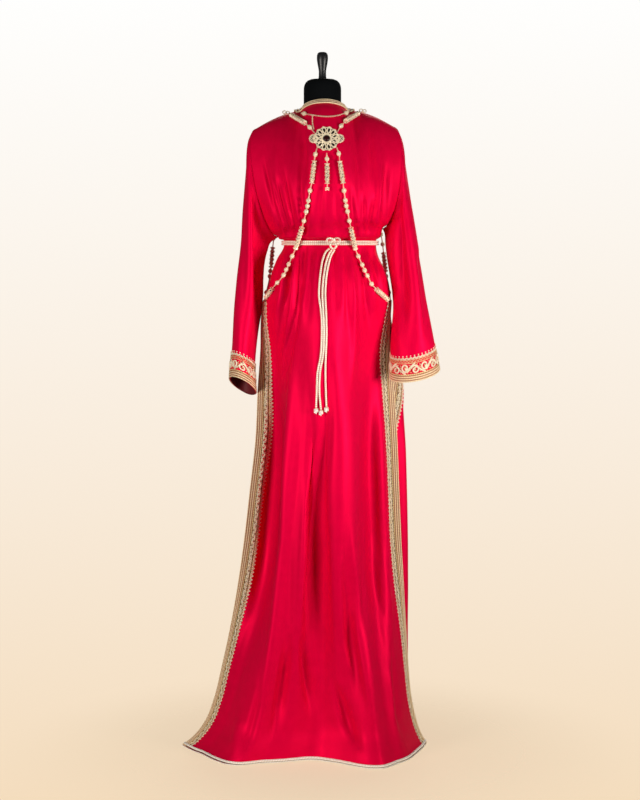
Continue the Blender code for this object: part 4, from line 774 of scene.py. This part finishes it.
slitTrim = {        # each cord is its distance in from the edge, its radius and its material
    "cords": [(0.0015, 0.0014, 3), (0.0043, 0.0013, 0), (0.0072, 0.0015, 3), (0.0101, 0.0013, 0),
              (0.0130, 0.0015, 3), (0.0158, 0.0012, 0)],
    "braid": (0.0182, 0.0012), "topRow": 15, "edge": 0.018,
    "repeat": 0.0190, "vineAt": 0.0258, "vineSway": 0.0026, "vineR": 0.0011,
    "leaves": ((-60, 0.0050), (-20, 0.0062), (20, 0.0062), (60, 0.0050)),
    "scallop": 0.0095, "scallopAt": 0.0330, "scallopR": 0.0011, "pearlAt": 0.0386, "pearlR": 0.0019,
}


def slitTrimParts(length):
    t = slitTrim
    vineAt, repeat = t["vineAt"], t["repeat"]
    parts = [straightThread(length, across, radius * 0.75, radius, 6, kind)
             for across, radius, kind in t["cords"]]
    braidAt, braidR = t["braid"]
    parts.append(straightThread(length, braidAt, braidR * 0.8, braidR, 6, 1))
    parts.append(tube(line(0.0, length, vineAt - 0.0002, 0.0), 0.0066, 6, flatUp, flat=0.13, material=5))
    vine = line(0.004, length - 0.004, vineAt, 0.0016, 0.0016)
    vine[:, 1] += t["vineSway"] * np.sin(fullTurn * vine[:, 0] / repeat)
    parts.append(tube(vine, t["vineR"], 5, flatUp, material=4))
    count = int(length / repeat) - 1
    starts = (length - count * repeat) / 2 + repeat * np.arange(count)
    for half, sign in ((0.25, -1), (0.75, 1)):
        at = starts + repeat * half
        curlAt = vineAt + sign * 0.0006
        curl = spiral((0.0, curlAt, 0.0013), (0.0040, 0.0011), (sign * -100, sign * 250), 12)
        parts += repeated(tube(curl, 0.0010, 4, flatUp, material=4), at)
        for turn, reach in t["leaves"]:
            way = math.radians(sign * 90 + turn)
            places = pointsOf(at + reach * 0.75 * math.cos(way),
                              vineAt + reach * 0.62 * math.sin(way), 0.0011)
            parts.append(leaves(places, way, 0.0021, 2))
        parts.append(scatter(pearl, pointsOf(at, curlAt, 0.0014), sizes=0.0012, material=2))
    parts.append(straightThread(length, t["scallopAt"] - 0.0004, 0.0008, 0.0008, 5, 2))
    scallops = int(length / t["scallop"])
    middles = (length - scallops * t["scallop"]) / 2 + t["scallop"] * (np.arange(scallops) + 0.5)
    arc = spiral((0.0, t["scallopAt"], 0.0009), (0.0044, 0.0044), (0, 180), 8)
    parts += repeated(tube(arc, t["scallopR"], 4, flatUp, material=4), middles)
    parts.append(leaves(pointsOf(middles, t["pearlAt"] - 0.0026, 0.0012), math.pi / 2, 0.0036, 4))
    for across, size in ((t["pearlAt"], t["pearlR"]), (t["scallopAt"] + 0.0018, 0.0012)):
        parts.append(scatter(pearl, pointsOf(middles, across, 0.0010), sizes=size, material=4))
    return parts


trimMaterials = [pinkCord, goldCord, goldThread, strawCord, paleThread, braidThread]
sewn = {name: [] for name in surfaces}      # what is sewn to each piece of cloth
for panel, side in (("back_panel", "left"), ("back_panel", "right"),
                    ("front_left", "left"), ("front_right", "right")):
    surface = surfaces[panel]
    foot = surface["points"][-1]
    edge = surface["columns"][0 if (foot[0, 0] < foot[-1, 0]) == (side == "left") else -1]
    slitTop = surface["rowKeys"][slitTrim["topRow"]]
    band = makeBand(surface, slitTop, surface["rows"][-1], edge, slitTrim["edge"], "side")
    name = f"slit_trim_{'back' if panel == 'back_panel' else 'front'}_{side}"
    sewn[panel].append(bandPiece(name + "Embroidery", band, slitTrimParts(band["length"]), trimMaterials,
                                 name))
print("slit bands are sewn on")

cuff = {
    "cords": [(0.0016, 0.0016, 3), (0.0043, 0.0012, 0), (0.0070, 0.0016, 3), (0.0097, 0.0012, 0),
              (0.0124, 0.0016, 3), (0.0150, 0.0012, 0)],
    "braid": (0.0176, 0.0015), "scrollAt": 0.0314, "scrollR": 0.0106, "repeat": 0.048,
    "upperLine": 0.0445, "waveAt": 0.0483, "scallopAt": 0.0528, "scallop": 0.0100, "pearlAt": 0.0610,
    "tall": {"left": 1.10, "right": 1.00}, "edge": 0.030,
}


def cuffParts(length, tall):
    c = cuff
    parts = [straightThread(length, across * tall, radius * 0.8, radius, 8, kind)
             for across, radius, kind in c["cords"]]
    parts.append(straightThread(length, c["braid"][0] * tall, 0.0012, c["braid"][1], 6, 1))
    count = round(length / c["repeat"])
    width = length / count
    at = c["scrollAt"] * tall
    big = c["scrollR"]
    for share, rise, flip in ((0.26, 0.0028, 1), (0.76, -0.0028, -1)):
        middles = width * (np.arange(count) + share)
        curl = spiral((0, at + rise, 0.0015), (big, 0.0030), (flip * 90 + 110, flip * 90 + 550), 30)
        parts += repeated(tube(curl, 0.0020, 6, flatUp, material=4), middles)
        stem = pointsOf(np.linspace(-0.25, 0.25, 12) * width,
                        at - rise * 1.4 + flip * 0.0075 * np.sin(np.linspace(-1.5, 1.5, 12)), 0.0012)
        parts += repeated(tube(stem, 0.0018, 5, flatUp, material=4), middles + 0.24 * width)
        for turn in range(0, 360, 45):
            way = math.radians(turn + 20)
            level = at + rise + (big + 0.0016) * math.sin(way)
            if 0.0205 * tall < level < 0.0436 * tall:
                places = pointsOf(middles + (big + 0.0022) * math.cos(way), level, 0.0012)
                parts.append(leaves(places, math.radians(turn + 70), 0.0031, 2))
        parts.append(scatter(pearl, pointsOf(middles, at + rise, 0.0018), sizes=0.0022, material=2))
    for level, radius in ((c["upperLine"], 0.0010), (c["scallopAt"] - 0.0008, 0.0009)):
        parts.append(straightThread(length, level * tall, 0.0009, radius, 5, 2))
    wave = line(0.0, length, c["waveAt"] * tall, 0.0008, 0.0012)
    wave[:, 1] += 0.0017 * np.sin(fullTurn * wave[:, 0] * round(length / 0.008) / length)
    parts.append(tube(wave, 0.0007, 5, flatUp, material=2))
    scallops = round(length / c["scallop"])
    middles = length / scallops * (np.arange(scallops) + 0.5)
    for reach, radius in ((0.0045, 0.0010), (0.0024, 0.0008)):
        arc = spiral((0, c["scallopAt"] * tall, 0.0010), (reach, reach), (0, 180), 9)
        parts += repeated(tube(arc, radius, 5, flatUp, material=4), middles)
    for level, size in ((c["pearlAt"], 0.0017), (c["pearlAt"] - 0.0034, 0.0012)):
        parts.append(scatter(pearl, pointsOf(middles, level * tall, 0.0011), sizes=size, material=4))
    return parts


for side, tall in cuff["tall"].items():
    surface = surfaces["sleeve_" + side]
    band = makeBand(surface, 0.0, surface["columns"][-1], surface["rows"][-1], cuff["edge"], "mouth")
    sewn["sleeve_" + side].append(bandPiece(f"cuff_{side}Embroidery", band, cuffParts(band["length"], tall),
                                            trimMaterials, "cuff_" + side))
print("cuffs are embroidered")


# Cords

def cordLine(name, ringEdge):       # the middle line of a tube in the frame, and whether it is closed
    bm = frameMesh(name)
    ringFor, rings = {}, []
    for v in bm.verts:
        if v in ringFor:
            continue
        ring, edge = [], [v]
        ringFor[v] = len(rings)
        while edge:
            corner = edge.pop()
            ring.append(corner)
            for e in corner.link_edges:
                other = e.other_vert(corner)
                if e.calc_length() < ringEdge and other not in ringFor:
                    ringFor[other] = len(rings)
                    edge.append(other)
        rings.append(ring)
    near = [{ringFor[e.other_vert(v)] for v in ring for e in v.link_edges} - {k}
            for k, ring in enumerate(rings)]
    closed = all(len(n) == 2 for n in near)
    order = [0 if closed else next(k for k, n in enumerate(near) if len(n) == 1)]
    while len(order) < len(rings):
        order += [k for k in near[order[-1]] if k not in order][:1]
    points = np.array([[v.co[:] for v in rings[k]] for k in order]).mean(axis=1)
    bm.free()
    return points, closed


def smoothLine(points, closed, step):
    wide = np.concatenate([points[-3:], points, points[:4]]) if closed else points
    run = runOf(wide)
    start, stop = (run[3], run[3 + len(points)]) if closed else (0.0, run[-1])
    at = np.linspace(start, stop, max(4, int((stop - start) / step)))
    found = throughPoints(wide, run, at)
    return found[:-1] if closed else found


# Dark red for the gaps between the neck cords: painted shade
neckGapShade = newMaterial("darkRedGapShade", Base_Color=linear("#7C1C24"), Roughness=0.6)[0]
neckCord = (0.0018, 0.0042, strawCord)      # radius, edge of a ring in the frame, material
beltCord = (0.0027, 0.0040, creamCord)
cordSizes = {"neck_cord_1": neckCord, "neck_cord_2": neckCord, "neck_cord_3": neckCord,
             "belt_cord_upper": beltCord, "belt_cord_lower": beltCord}
cordPaths = {}
for name, (radius, ringEdge, material) in cordSizes.items():
    points, closed = cordLine(name, ringEdge)
    cordPaths[name] = smoothLine(points, closed, 0.0030)
    parts = [tube(cordPaths[name], radius, 10, closed=closed)]
    if name in ("neck_cord_2", "neck_cord_3"):      # a dark red tube fills the gap to the cord before it, as painted shade between the cords
        other = cordPaths[name[:-1] + str(int(name[-1]) - 1)]
        near = np.linalg.norm(cordPaths[name][:, None] - other[None], axis=2).argmin(axis=1)
        middle = (cordPaths[name] + other[near]) / 2
        outward = unit((middle - middle.mean(axis=0)) * (1, 1, 0)) * 0.0007 + (0, 0, 0.0004)
        parts.append(tube(middle + outward, 0.0008, 6, closed=closed, material=1))
    joinedPiece(name + "Twist", parts, [material, neckGapShade], name)

knotLoops = {"x": 0.0222, "z": 1.2735, "size": 0.0060, "radius": 0.0024}
turns = fullTurn * np.arange(160) / 160
knotPath = pointsOf(knotLoops["x"] + knotLoops["size"] * (np.sin(turns) + 1.9 * np.sin(2 * turns)),
                    middleOf(frameCorners("belt_knot"))[1] - 0.0050 * np.sin(3 * turns),
                    knotLoops["z"] + 0.86 * knotLoops["size"] * (np.cos(turns) - 1.9 * np.cos(2 * turns)))
joinedPiece("beltKnotLoops", [tube(knotPath, knotLoops["radius"], 10, closed=True)], [creamCord],
            "belt_knot")

tailRoutes = {      # x and z in mm of each hanging end of the belt, from the knot down
    "belt_tail_1": [
        (13, 1259), (5.5, 1252.2), (-2.4, 1235.4), (-7.3, 1210.8), (-11.3, 1176.2), (-12.3, 1142.6),
        (-8.8, 1117.9), (-6.3, 1095.1), (-5.8, 1052.5), (-8.3, 1002.8), (-16.3, 958), (-18, 913.2),
        (-19.5, 875.2),
    ],
    "belt_tail_2": [
        (18.4, 1255.5), (12, 1245.3), (5.5, 1227.6), (0.1, 1199.9), (-3.4, 1170.3), (-4, 1137.7),
        (-1.4, 1095.1), (-0.4, 1052.5), (-2.5, 1002.8), (-9.8, 961), (-11.3, 913.2), (-7.8, 870),
    ],
    "belt_tail_3": [
        (25.3, 1255.5), (18.4, 1244.3), (12, 1225.6), (6.8, 1199.9), (3.6, 1170.3), (3.1, 1137.7),
        (5.1, 1095.1), (5.8, 1052.5), (4.1, 1002.8), (3.1, 961), (4.1, 913.2), (5.6, 877.2),
    ],
}
tail = {"radius": 0.0023, "knotR": 0.0042, "knotTurns": 2.6, "knotTall": 0.0080}
for name, route in tailRoutes.items():
    points = cordLine(name, 0.0030)[0]
    points = points[np.argsort(-points[:, 2])]
    x, z = 0.001 * np.array(route).T
    path = smoothLine(pointsOf(x, np.interp(-z, -points[:, 2], points[:, 1]), z), False, 0.0040)
    piece = joinedPiece(name + "Twist", [tube(path, tail["radius"], 10)], [creamCord], name)
    t = np.linspace(0, 1, 40)
    turn = fullTurn * tail["knotTurns"] * t
    x, y, z = path[-1]
    wound = pointsOf(x + tail["knotR"] * 0.8 * np.cos(turn),
                     y - 0.001 + tail["knotR"] * 0.75 * np.sin(turn), z - 0.0025 - tail["knotTall"] * t)
    tip = pointsOf(x, y - 0.001, z - 0.009 - np.linspace(0, 0.0055, 6))
    knotName = name.replace("tail", "tail_knot")
    ends = [tube(wound, 0.0022, 8), tube(tip, np.linspace(0.0022, 0.0012, 6), 8)]
    knot = joinedPiece(knotName + "Wound", ends, [whiteCord], knotName)
    length = float(runOf(path)[-1])
    print(f"{name}: {length:.3f} m")

hem = {"cordR": 0.0013, "outward": 0.0016, "secondR": 0.0030, "secondIn": 0.0046, "darkR": 0.0010,
       "darkIn": 0.0008, "floor": 0.0019, "samples": 260}
darkThread = newMaterial("graphiteLacingThread", Base_Color=linear("#4A4038"), Roughness=0.5)[0]


def hemLine(surface, inward, lift):
    across = np.linspace(0, surface["columns"][-1], hem["samples"])
    foot = surface["rows"][-1]
    if inward > 0:
        return onSurface(surface, foot - inward, across, lift)
    edge = onSurface(surface, foot, across)
    path = edge + unit(edge - onSurface(surface, foot - 0.004, across)) * -inward
    path[:, 2] = np.maximum(path[:, 2] - 0.0005, hem["floor"])
    return path


for panel in ("back_panel", "front_left", "front_right"):
    surface = surfaces[panel]
    name = "hem_piping_" + panel.replace("_panel", "")
    sewn[panel].append(joinedPiece(name + "Cords", [
        tube(hemLine(surface, -hem["outward"], 0.0), hem["cordR"], 8),
        tube(hemLine(surface, hem["darkIn"], 0.0006), hem["darkR"], 6, material=1),
        tube(hemLine(surface, hem["secondIn"], 0.0010), hem["secondR"], 8)],
        [whiteCord, darkThread], name))

# Each piece of cloth prints its cut: the widest row, the longest column and its own area

def cutOf(points):
    width = np.linalg.norm(np.diff(points, axis=1), axis=2).sum(axis=1).max()
    length = np.linalg.norm(np.diff(points, axis=0), axis=2).sum(axis=0).max()
    over, under = points[1:, 1:] - points[:-1, :-1], points[1:, :-1] - points[:-1, 1:]
    return float(width), float(length), float(np.linalg.norm(np.cross(over, under), axis=2).sum() / 2)


for name, surface in surfaces.items():
    width, length, area = cutOf(surface["points"])
    print(f"{name}: cut {width:.3f} x {length:.3f} m, {area:.3f} m2")
print("cords and piping are laid")


# Gilt ornament sewn to the back: strings of filigree beads and bars that hang from a medallion

def moved(parts, start, stop, up=(0, -1.0, 0)):      # parts drawn along Z are set from start towards stop
    way = unit(np.asarray(stop) - start)
    side = unit(np.cross(up, way))
    turn = np.stack([side, np.cross(way, side), way])
    return [{**part, "points": part["points"] @ turn + start} for part in parts]


bead = {
    "core": turned([(0, -5.1), (2.2, -4.5), (4.0, -2.9), (4.9, -0.9), (4.9, 0.9), (4.0, 2.9), (2.2, 4.5),
                    (0, 5.1)], 30, 10, 0.08),
    "cap": turned([(0, 6.9), (0.9, 6.8), (1.3, 5.6), (2.6, 5.0), (4.1, 3.9), (4.5, 2.9), (3.6, 3.1),
                   (2.0, 4.2), (0, 4.8)], 24, 8, 0.12),
    "collar": turned([(0, 6.6), (1.7, 6.7), (2.0, 7.2), (1.7, 7.7), (0, 7.8)], 12),
}
bell = turned([(0, 0.0), (1.4, 0.0), (1.9, 1.2), (2.4, 2.6), (3.9, 5.2), (5.8, 7.0), (6.1, 7.9), (5.2, 7.8),
               (3.0, 6.2), (0, 5.6)], 30, 10, 0.06)
ringBead = turned([(0, -1.1), (3.4, -1.1), (4.1, -0.6), (4.3, 0), (4.1, 0.6), (3.4, 1.1), (0, 1.1)],
                  24, 12, 0.07)
granule = ball(1.0, 6, 4)


def ringOf(count, radius, height=0.0):
    turns = fullTurn * np.arange(count) / count
    return pointsOf(radius * np.cos(turns), radius * np.sin(turns), height)


def beadParts():
    parts = [scatter(bead["core"])]
    for way in (1.0, -1.0):
        parts += [scatter(bead[half], ways=(0, 0, way)) for half in ("cap", "collar")]
    parts.append(scatter(granule, ringOf(12, 0.0050), sizes=0.0008))
    return parts


def barParts(length):
    parts = [scatter(bell, (0, 0, 0.0085), ways=(0, 0, -1.0)), scatter(bell, (0, 0, length - 0.0085))]
    z = np.linspace(0.006, length - 0.006, 60)
    for start in range(3):
        turn = fullTurn * (z / 0.016 + start / 3)
        parts.append(tube(pointsOf(0.0038 * np.cos(turn), 0.0038 * np.sin(turn), z), 0.0014, 6))
    parts.append(tube(pointsOf(0, 0, z[::6]), 0.0032, 8, material=1))
    levels = np.linspace(0.011, length - 0.011, max(3, round(length / 0.012)))
    parts.append(scatter(ringBead, pointsOf(0, 0, levels), sizes=1.3))
    rings = [(12, 0.0058, level, 0.0009) for level in levels]
    rings += [(14, 0.0056, level, 0.0008) for level in (0.0015, length - 0.0015)]
    for count, radius, level, size in rings:
        parts.append(scatter(granule, ringOf(count, radius, level), sizes=size))
    return parts


def loopParts():
    parts = []
    for turn in (20, 140, 260):
        middle = 0.0048 * np.array([math.cos(math.radians(turn)), math.sin(math.radians(turn)), 0])
        parts.append(tube(ringOf(18, 0.0045) + middle, 0.0009, 6, closed=True))
        parts.append(scatter(granule, ringOf(7, 0.002475) + middle, sizes=0.0008))
    parts.append(scatter(granule, (0, 0, 0.001), sizes=0.0020))
    return parts


strings = {     # x and z in mm and the kind, from its top; a bar runs to the next row
    "strand_lower_left": [
        (-17, 1498.5, "link"), (-21, 1482.5, "bead"), (-23.4, 1467.8, "bar"), (-30.1, 1413, "end"),
        (-34, 1396.4, "bead"), (-37.8, 1373.2, "bead"), (-40.2, 1360, "bead"), (-43.1, 1346.7, "bead"),
        (-48.7, 1325.2, "bead"), (-53.2, 1309.4, "bar"), (-69.4, 1258.7, "end"), (-77.6, 1240.4, "bead"),
        (-85.7, 1220.9, "bead"), (-92, 1207.5, "bead"), (-98.6, 1194.7, "bead"), (-113.8, 1175.9, "bead"),
        (-126, 1162, "bar"), (-143.5, 1138.5, "end"),
    ],
    "strand_lower_right": [
        (30, 1498.5, "link"), (34.8, 1484, "bead"), (37.2, 1466.6, "bar"), (45.2, 1413, "end"),
        (47.3, 1396.4, "bead"), (50.5, 1373.2, "bead"), (52.9, 1360.1, "bead"), (56, 1347.2, "bead"),
        (60.4, 1325.2, "bead"), (64, 1308.9, "bar"), (76.3, 1257.2, "end"), (82.9, 1240.4, "bead"),
        (92.5, 1219.5, "bead"), (98.3, 1206.3, "bead"), (104.9, 1193.3, "bead"), (115.1, 1173.5, "bead"),
        (126.7, 1160.7, "bar"), (156, 1134.5, "end"),
    ],
    "strand_upper_left": [
        (-21.5, 1533, "link"), (-34.7, 1548, "bead"), (-46, 1559, "bar"), (-80.1, 1583, "end"),
        (-93.5, 1589, "loops"),
    ],
    "strand_upper_right": [
        (30, 1535, "link"), (40.9, 1551.5, "bead"), (51.5, 1563.6, "bar"), (82.8, 1587, "end"),
        (94.5, 1593.5, "loops"),
    ],
    "pendant": [
        (6, 1485.5, "link"), (6.6, 1471.6, "bead"), (7, 1460.7, "bar"), (7.2, 1412.1, "end"),
        (7.2, 1403.5, "drops"),
    ],
    "strand_front_left": [
        (-99, 1570, "link"), (-106, 1520, "bead"), (-113, 1460, "bar"), (-119, 1410, "end"),
        (-123, 1370, "bead"), (-125.5, 1325, "bead"), (-127, 1285, "bead"), (-129, 1262, "bar"),
        (-133, 1212, "end"), (-134.5, 1203, "bead"), (-136, 1190, "bead"), (-144, 1150, "bead"),
    ],
    "strand_front_right": [
        (101, 1572, "link"), (110, 1520, "bead"), (118, 1460, "bar"), (127, 1410, "end"),
        (134, 1370, "bead"), (140, 1325, "bead"), (144, 1295, "bead"), (148, 1270, "bead"),
        (150, 1248, "bar"), (154.5, 1202, "end"), (156, 1190, "bead"), (162, 1150, "bead"),
    ],
}
giltMaterials = [gilt, paintedShadeBrass, linkThread]


def frameDepth(name, x, z, reach=0.0085):      # how far back the frame's own string lies at a place
    corners = frameCorners(name)
    away = np.hypot(corners[:, 0] - x, corners[:, 2] - z)
    return middleOf(corners[away < max(reach, np.sort(away)[6])])[1]


def onString(name, places):     # places in the frame from x and z in mm
    return np.array([(x, frameDepth(name, x, z), z) for x, z in 0.001 * np.array(places)])


def clothTree():
    points, faces, offset = [], [], 0
    for surface in surfaces.values():
        r, c = surface["points"].shape[:2]
        index = np.arange(r * c).reshape(r, c) + offset
        corners = [index[:-1, :-1], index[1:, :-1], index[1:, 1:], index[:-1, 1:]]
        faces.append(np.stack(corners, axis=2).reshape(-1, 4))
        points.append(surface["points"].reshape(-1, 3))
        offset += r * c
    return BVHTree.FromPolygons(np.concatenate(points).tolist(), np.concatenate(faces).tolist())


cloth = clothTree()
clearing = {"tries": 3, "farAway": 0.03, "leastSlope": 0.5}


def clearOf(places, clearance, behind):       # moves what would sink into the cloth straight back out of it
    places = np.array(places)
    for place in places:
        for _ in range(clearing["tries"]):
            spot, normal, _, away = cloth.find_nearest(Vector(place))
            normal = normal if normal.y * behind > 0 else -normal
            depth = (Vector(place) - spot).dot(normal)
            if depth > clearance or away > clearing["farAway"]:
                break
            place[1] += behind * (clearance - depth) / max(clearing["leastSlope"], abs(normal.y))
    return places


reaches = {"bead": 0.0046, "bar": 0.0060, "end": 0.0060, "loops": 0.0020, "drops": 0.0022, "link": 0.0016}
for name, rows in strings.items():
    behind = 1.0 if "front" in name else -1.0
    kinds = [row[2] for row in rows]
    places = onString(name, [row[:2] for row in rows])
    places = np.concatenate([clearOf([place], reaches[kind], behind) for place, kind in zip(places, kinds)])
    thread = clearOf(smoothLine(places, False, 0.004), 0.0014, behind)
    parts = [tube(thread, 0.0014, 6, material=2)]
    tangents = unit(np.gradient(places, axis=0))
    for k, (spot, kind) in enumerate(zip(places, kinds)):
        if kind == "bead":
            parts += moved(beadParts(), spot, spot + tangents[k], (0, behind, 0))
        elif kind == "bar":
            length = np.linalg.norm(places[k + 1] - spot)
            parts += moved(barParts(length), spot, places[k + 1], (0, behind, 0))
        elif kind == "loops":
            parts += moved(loopParts(), spot, spot + (0, behind, 0.45), flatUp)
        elif kind == "drops":
            for shift in (-0.0034, 0.0, 0.0034):
                drop = spot + (shift, 0, -abs(shift) * 0.4)
                parts.append(scatter(granule, [drop, drop + (0, 0, -0.0042)], sizes=0.0021))
    joinedPiece(name + "Filigree", parts, giltMaterials, name)

link = turned([(1.15, -0.45), (1.6, -0.3), (1.75, 0), (1.6, 0.3), (1.15, 0.45), (0.95, 0.2), (0.9, 0),
               (0.95, -0.2), (1.15, -0.45)], 12)
longLink = (link[0] * (1.0, 1.35, 1.0), link[1])
chains = {      # x and z in mm
    "neck_chain": [(-48, 1583), (-28.1, 1578.5), (-2.7, 1574.5), (29.7, 1576.5), (53, 1585)],
    "drop_chain": [(-27.9, 1576.5), (-28.1, 1560), (-25.5, 1545)],
}
for name, rows in chains.items():
    run = clearOf(smoothLine(onString(name, rows), False, 0.0030), 0.0018, -1.0)
    along = unit(np.gradient(run, axis=0))
    even = np.arange(len(run)) % 2 == 0
    across = np.where(even[:, None], (0, -1.0, 0), np.cross(along, (0, -1.0, 0)))
    parts = [scatter(longLink, run, ups=along, ways=across)]
    if name == "neck_chain":
        for k in (0, -1):
            parts += moved(beadParts(), clearOf(run[[k]], 0.0048, -1.0)[0], run[k] + along[k])
    joinedPiece(name + "Links", parts, giltMaterials, name)

plate = frameCorners("medallion")
middle = middleOf(plate)
tilt = np.linalg.svd(plate - plate.mean(0))[2][2]
tilt = tilt if tilt[1] < 0 else -tilt
medallion = {       # a petal's inner and outer reach, half width, wire and height in mm
    "dishR": 28.4, "petals": 12, "petal": (14.2, 27.7, 5.2, 1.40, 1.2), "rimR": 29.1, "rimWave": 1.4,
    "lobeAt": 0.0310, "lobeR": 0.0092,
}


def medallionParts():
    m = medallion
    dish = turned([(0, -1.6), (m["dishR"], -1.6), (m["dishR"] + 0.6, -1.0), (m["dishR"], -0.4), (14, 0.2),
                   (0, 0.4)], 48, 12, 0.02)
    parts = [scatter(dish, material=1)]
    inner, outer, width, wire, height = m["petal"]
    u = fullTurn * np.arange(22) / 22
    reach = (inner + outer) / 2 - (outer - inner) / 2 * np.cos(u)
    wide = width * np.sin(u) * (0.55 + 0.45 * (reach - inner) / (outer - inner))
    for k in range(m["petals"]):
        t = fullTurn * (k + 0.5) / m["petals"]
        way, side = np.array([(math.cos(t), math.sin(t), 0), (-math.sin(t), math.cos(t), 0)])
        loop = (reach[:, None] * way + wide[:, None] * side + (0, 0, height)) * 0.001
        parts.append(tube(loop, wire * 0.001, 6, closed=True))
        parts.append(scatter(granule, way * 0.0302 + (0, 0, 0.0006), sizes=0.0018))
    u = fullTurn * np.arange(144) / 144
    rim = (m["rimR"] + m["rimWave"] * np.cos(12 * (u - math.pi / 12))) * 0.001
    parts.append(tube(pointsOf(rim * np.cos(u), rim * np.sin(u), 0.0004), 0.0010, 6, closed=True))
    for radius, wire, height in ((0.0096, 0.0011, 0.0022), (0.0122, 0.0016, 0.0012)):
        parts.append(tube(ringOf(40, radius, height), wire, 8, closed=True))
    parts.append(scatter(granule, ringOf(22, 0.0107, 0.0024), sizes=0.0009))
    lobe = turned([(0, -1.4), (8.6, -1.4), (8.9, -0.8), (8.4, 0), (0, 0.3)], 32)
    for way in (-1, 1):
        spot = np.array([way * m["lobeAt"], 0, 0])
        parts.append(scatter(lobe, spot, material=1))
        parts.append(tube(ringOf(32, m["lobeR"], 0.0006) + spot, 0.0011, 6, closed=True))
        parts.append(scatter(granule, ringOf(18, m["lobeR"] + 0.0016, 0.0004) + spot, sizes=0.0010))
        for around in ringOf(6, 0.0046):
            parts.append(tube(ringOf(12, 0.0023, 0.0011) + spot + around, 0.0007, 5, closed=True))
        parts.append(scatter(granule, spot + (0, 0, 0.0016), sizes=0.0021))
    return parts


joinedPiece("medallionFiligree", moved(medallionParts(), middle, middle + tilt, flatUp), giltMaterials,
            "medallion")
cabochon = turned([(0, 0.6), (7.0, 0.6), (7.3, 1.6), (6.7, 2.9), (5.2, 4.0), (3.0, 4.7), (0, 5.0)], 40)
stone = moved([scatter(cabochon)], middle, middle + tilt, flatUp)
joinedPiece("medallionStone", stone, [garnet], "medallion_stone")
print("gilt ornament is strung")

# The form: cap, knob, pole and base turned smoothly; its body keeps the frame's own solid

stand = {
    "form_neck_cap": ([(0, 1600.3), (45.6, 1600.3), (46.0, 1601.5), (46.0, 1645), (45.7, 1652),
                       (44.4, 1658), (41.5, 1664), (36.5, 1669), (29.0, 1672), (18, 1673.2), (0, 1673.4)],
                      72, jersey, "black_jersey"),
    "form_finial": ([(0, 1673.7), (10.5, 1673.7), (9.6, 1676), (9.1, 1682), (9.0, 1692), (10.2, 1700),
                     (12.0, 1709), (13.4, 1718), (13.8, 1724), (13.5, 1730), (12.0, 1735), (8.5, 1738),
                     (4.0, 1738.7), (0, 1738.8)], 48, coated, "black_metal"),
    "form_pole": ([(0, 14.3), (11, 14.3), (11, 929.7), (0, 929.7)], 40, coated, "black_metal"),
    "form_base": ([(0, 0), (119, 0), (120, 1.5), (120, 7), (118.5, 10), (112, 13.6), (110, 14), (0, 14)], 96,
                  coated, "black_metal"),
}
for name, (profile, sides, material, slot) in stand.items():
    spot = middleOf(frameCorners(name)) * (1, 1, 0)
    joinedPiece(name + "Turned", [scatter(turned(profile, sides), spot)], [material], name)
nodes["form_torso"].data.materials.clear()
nodes["form_torso"].data.materials.append(jersey)
print("form is turned")
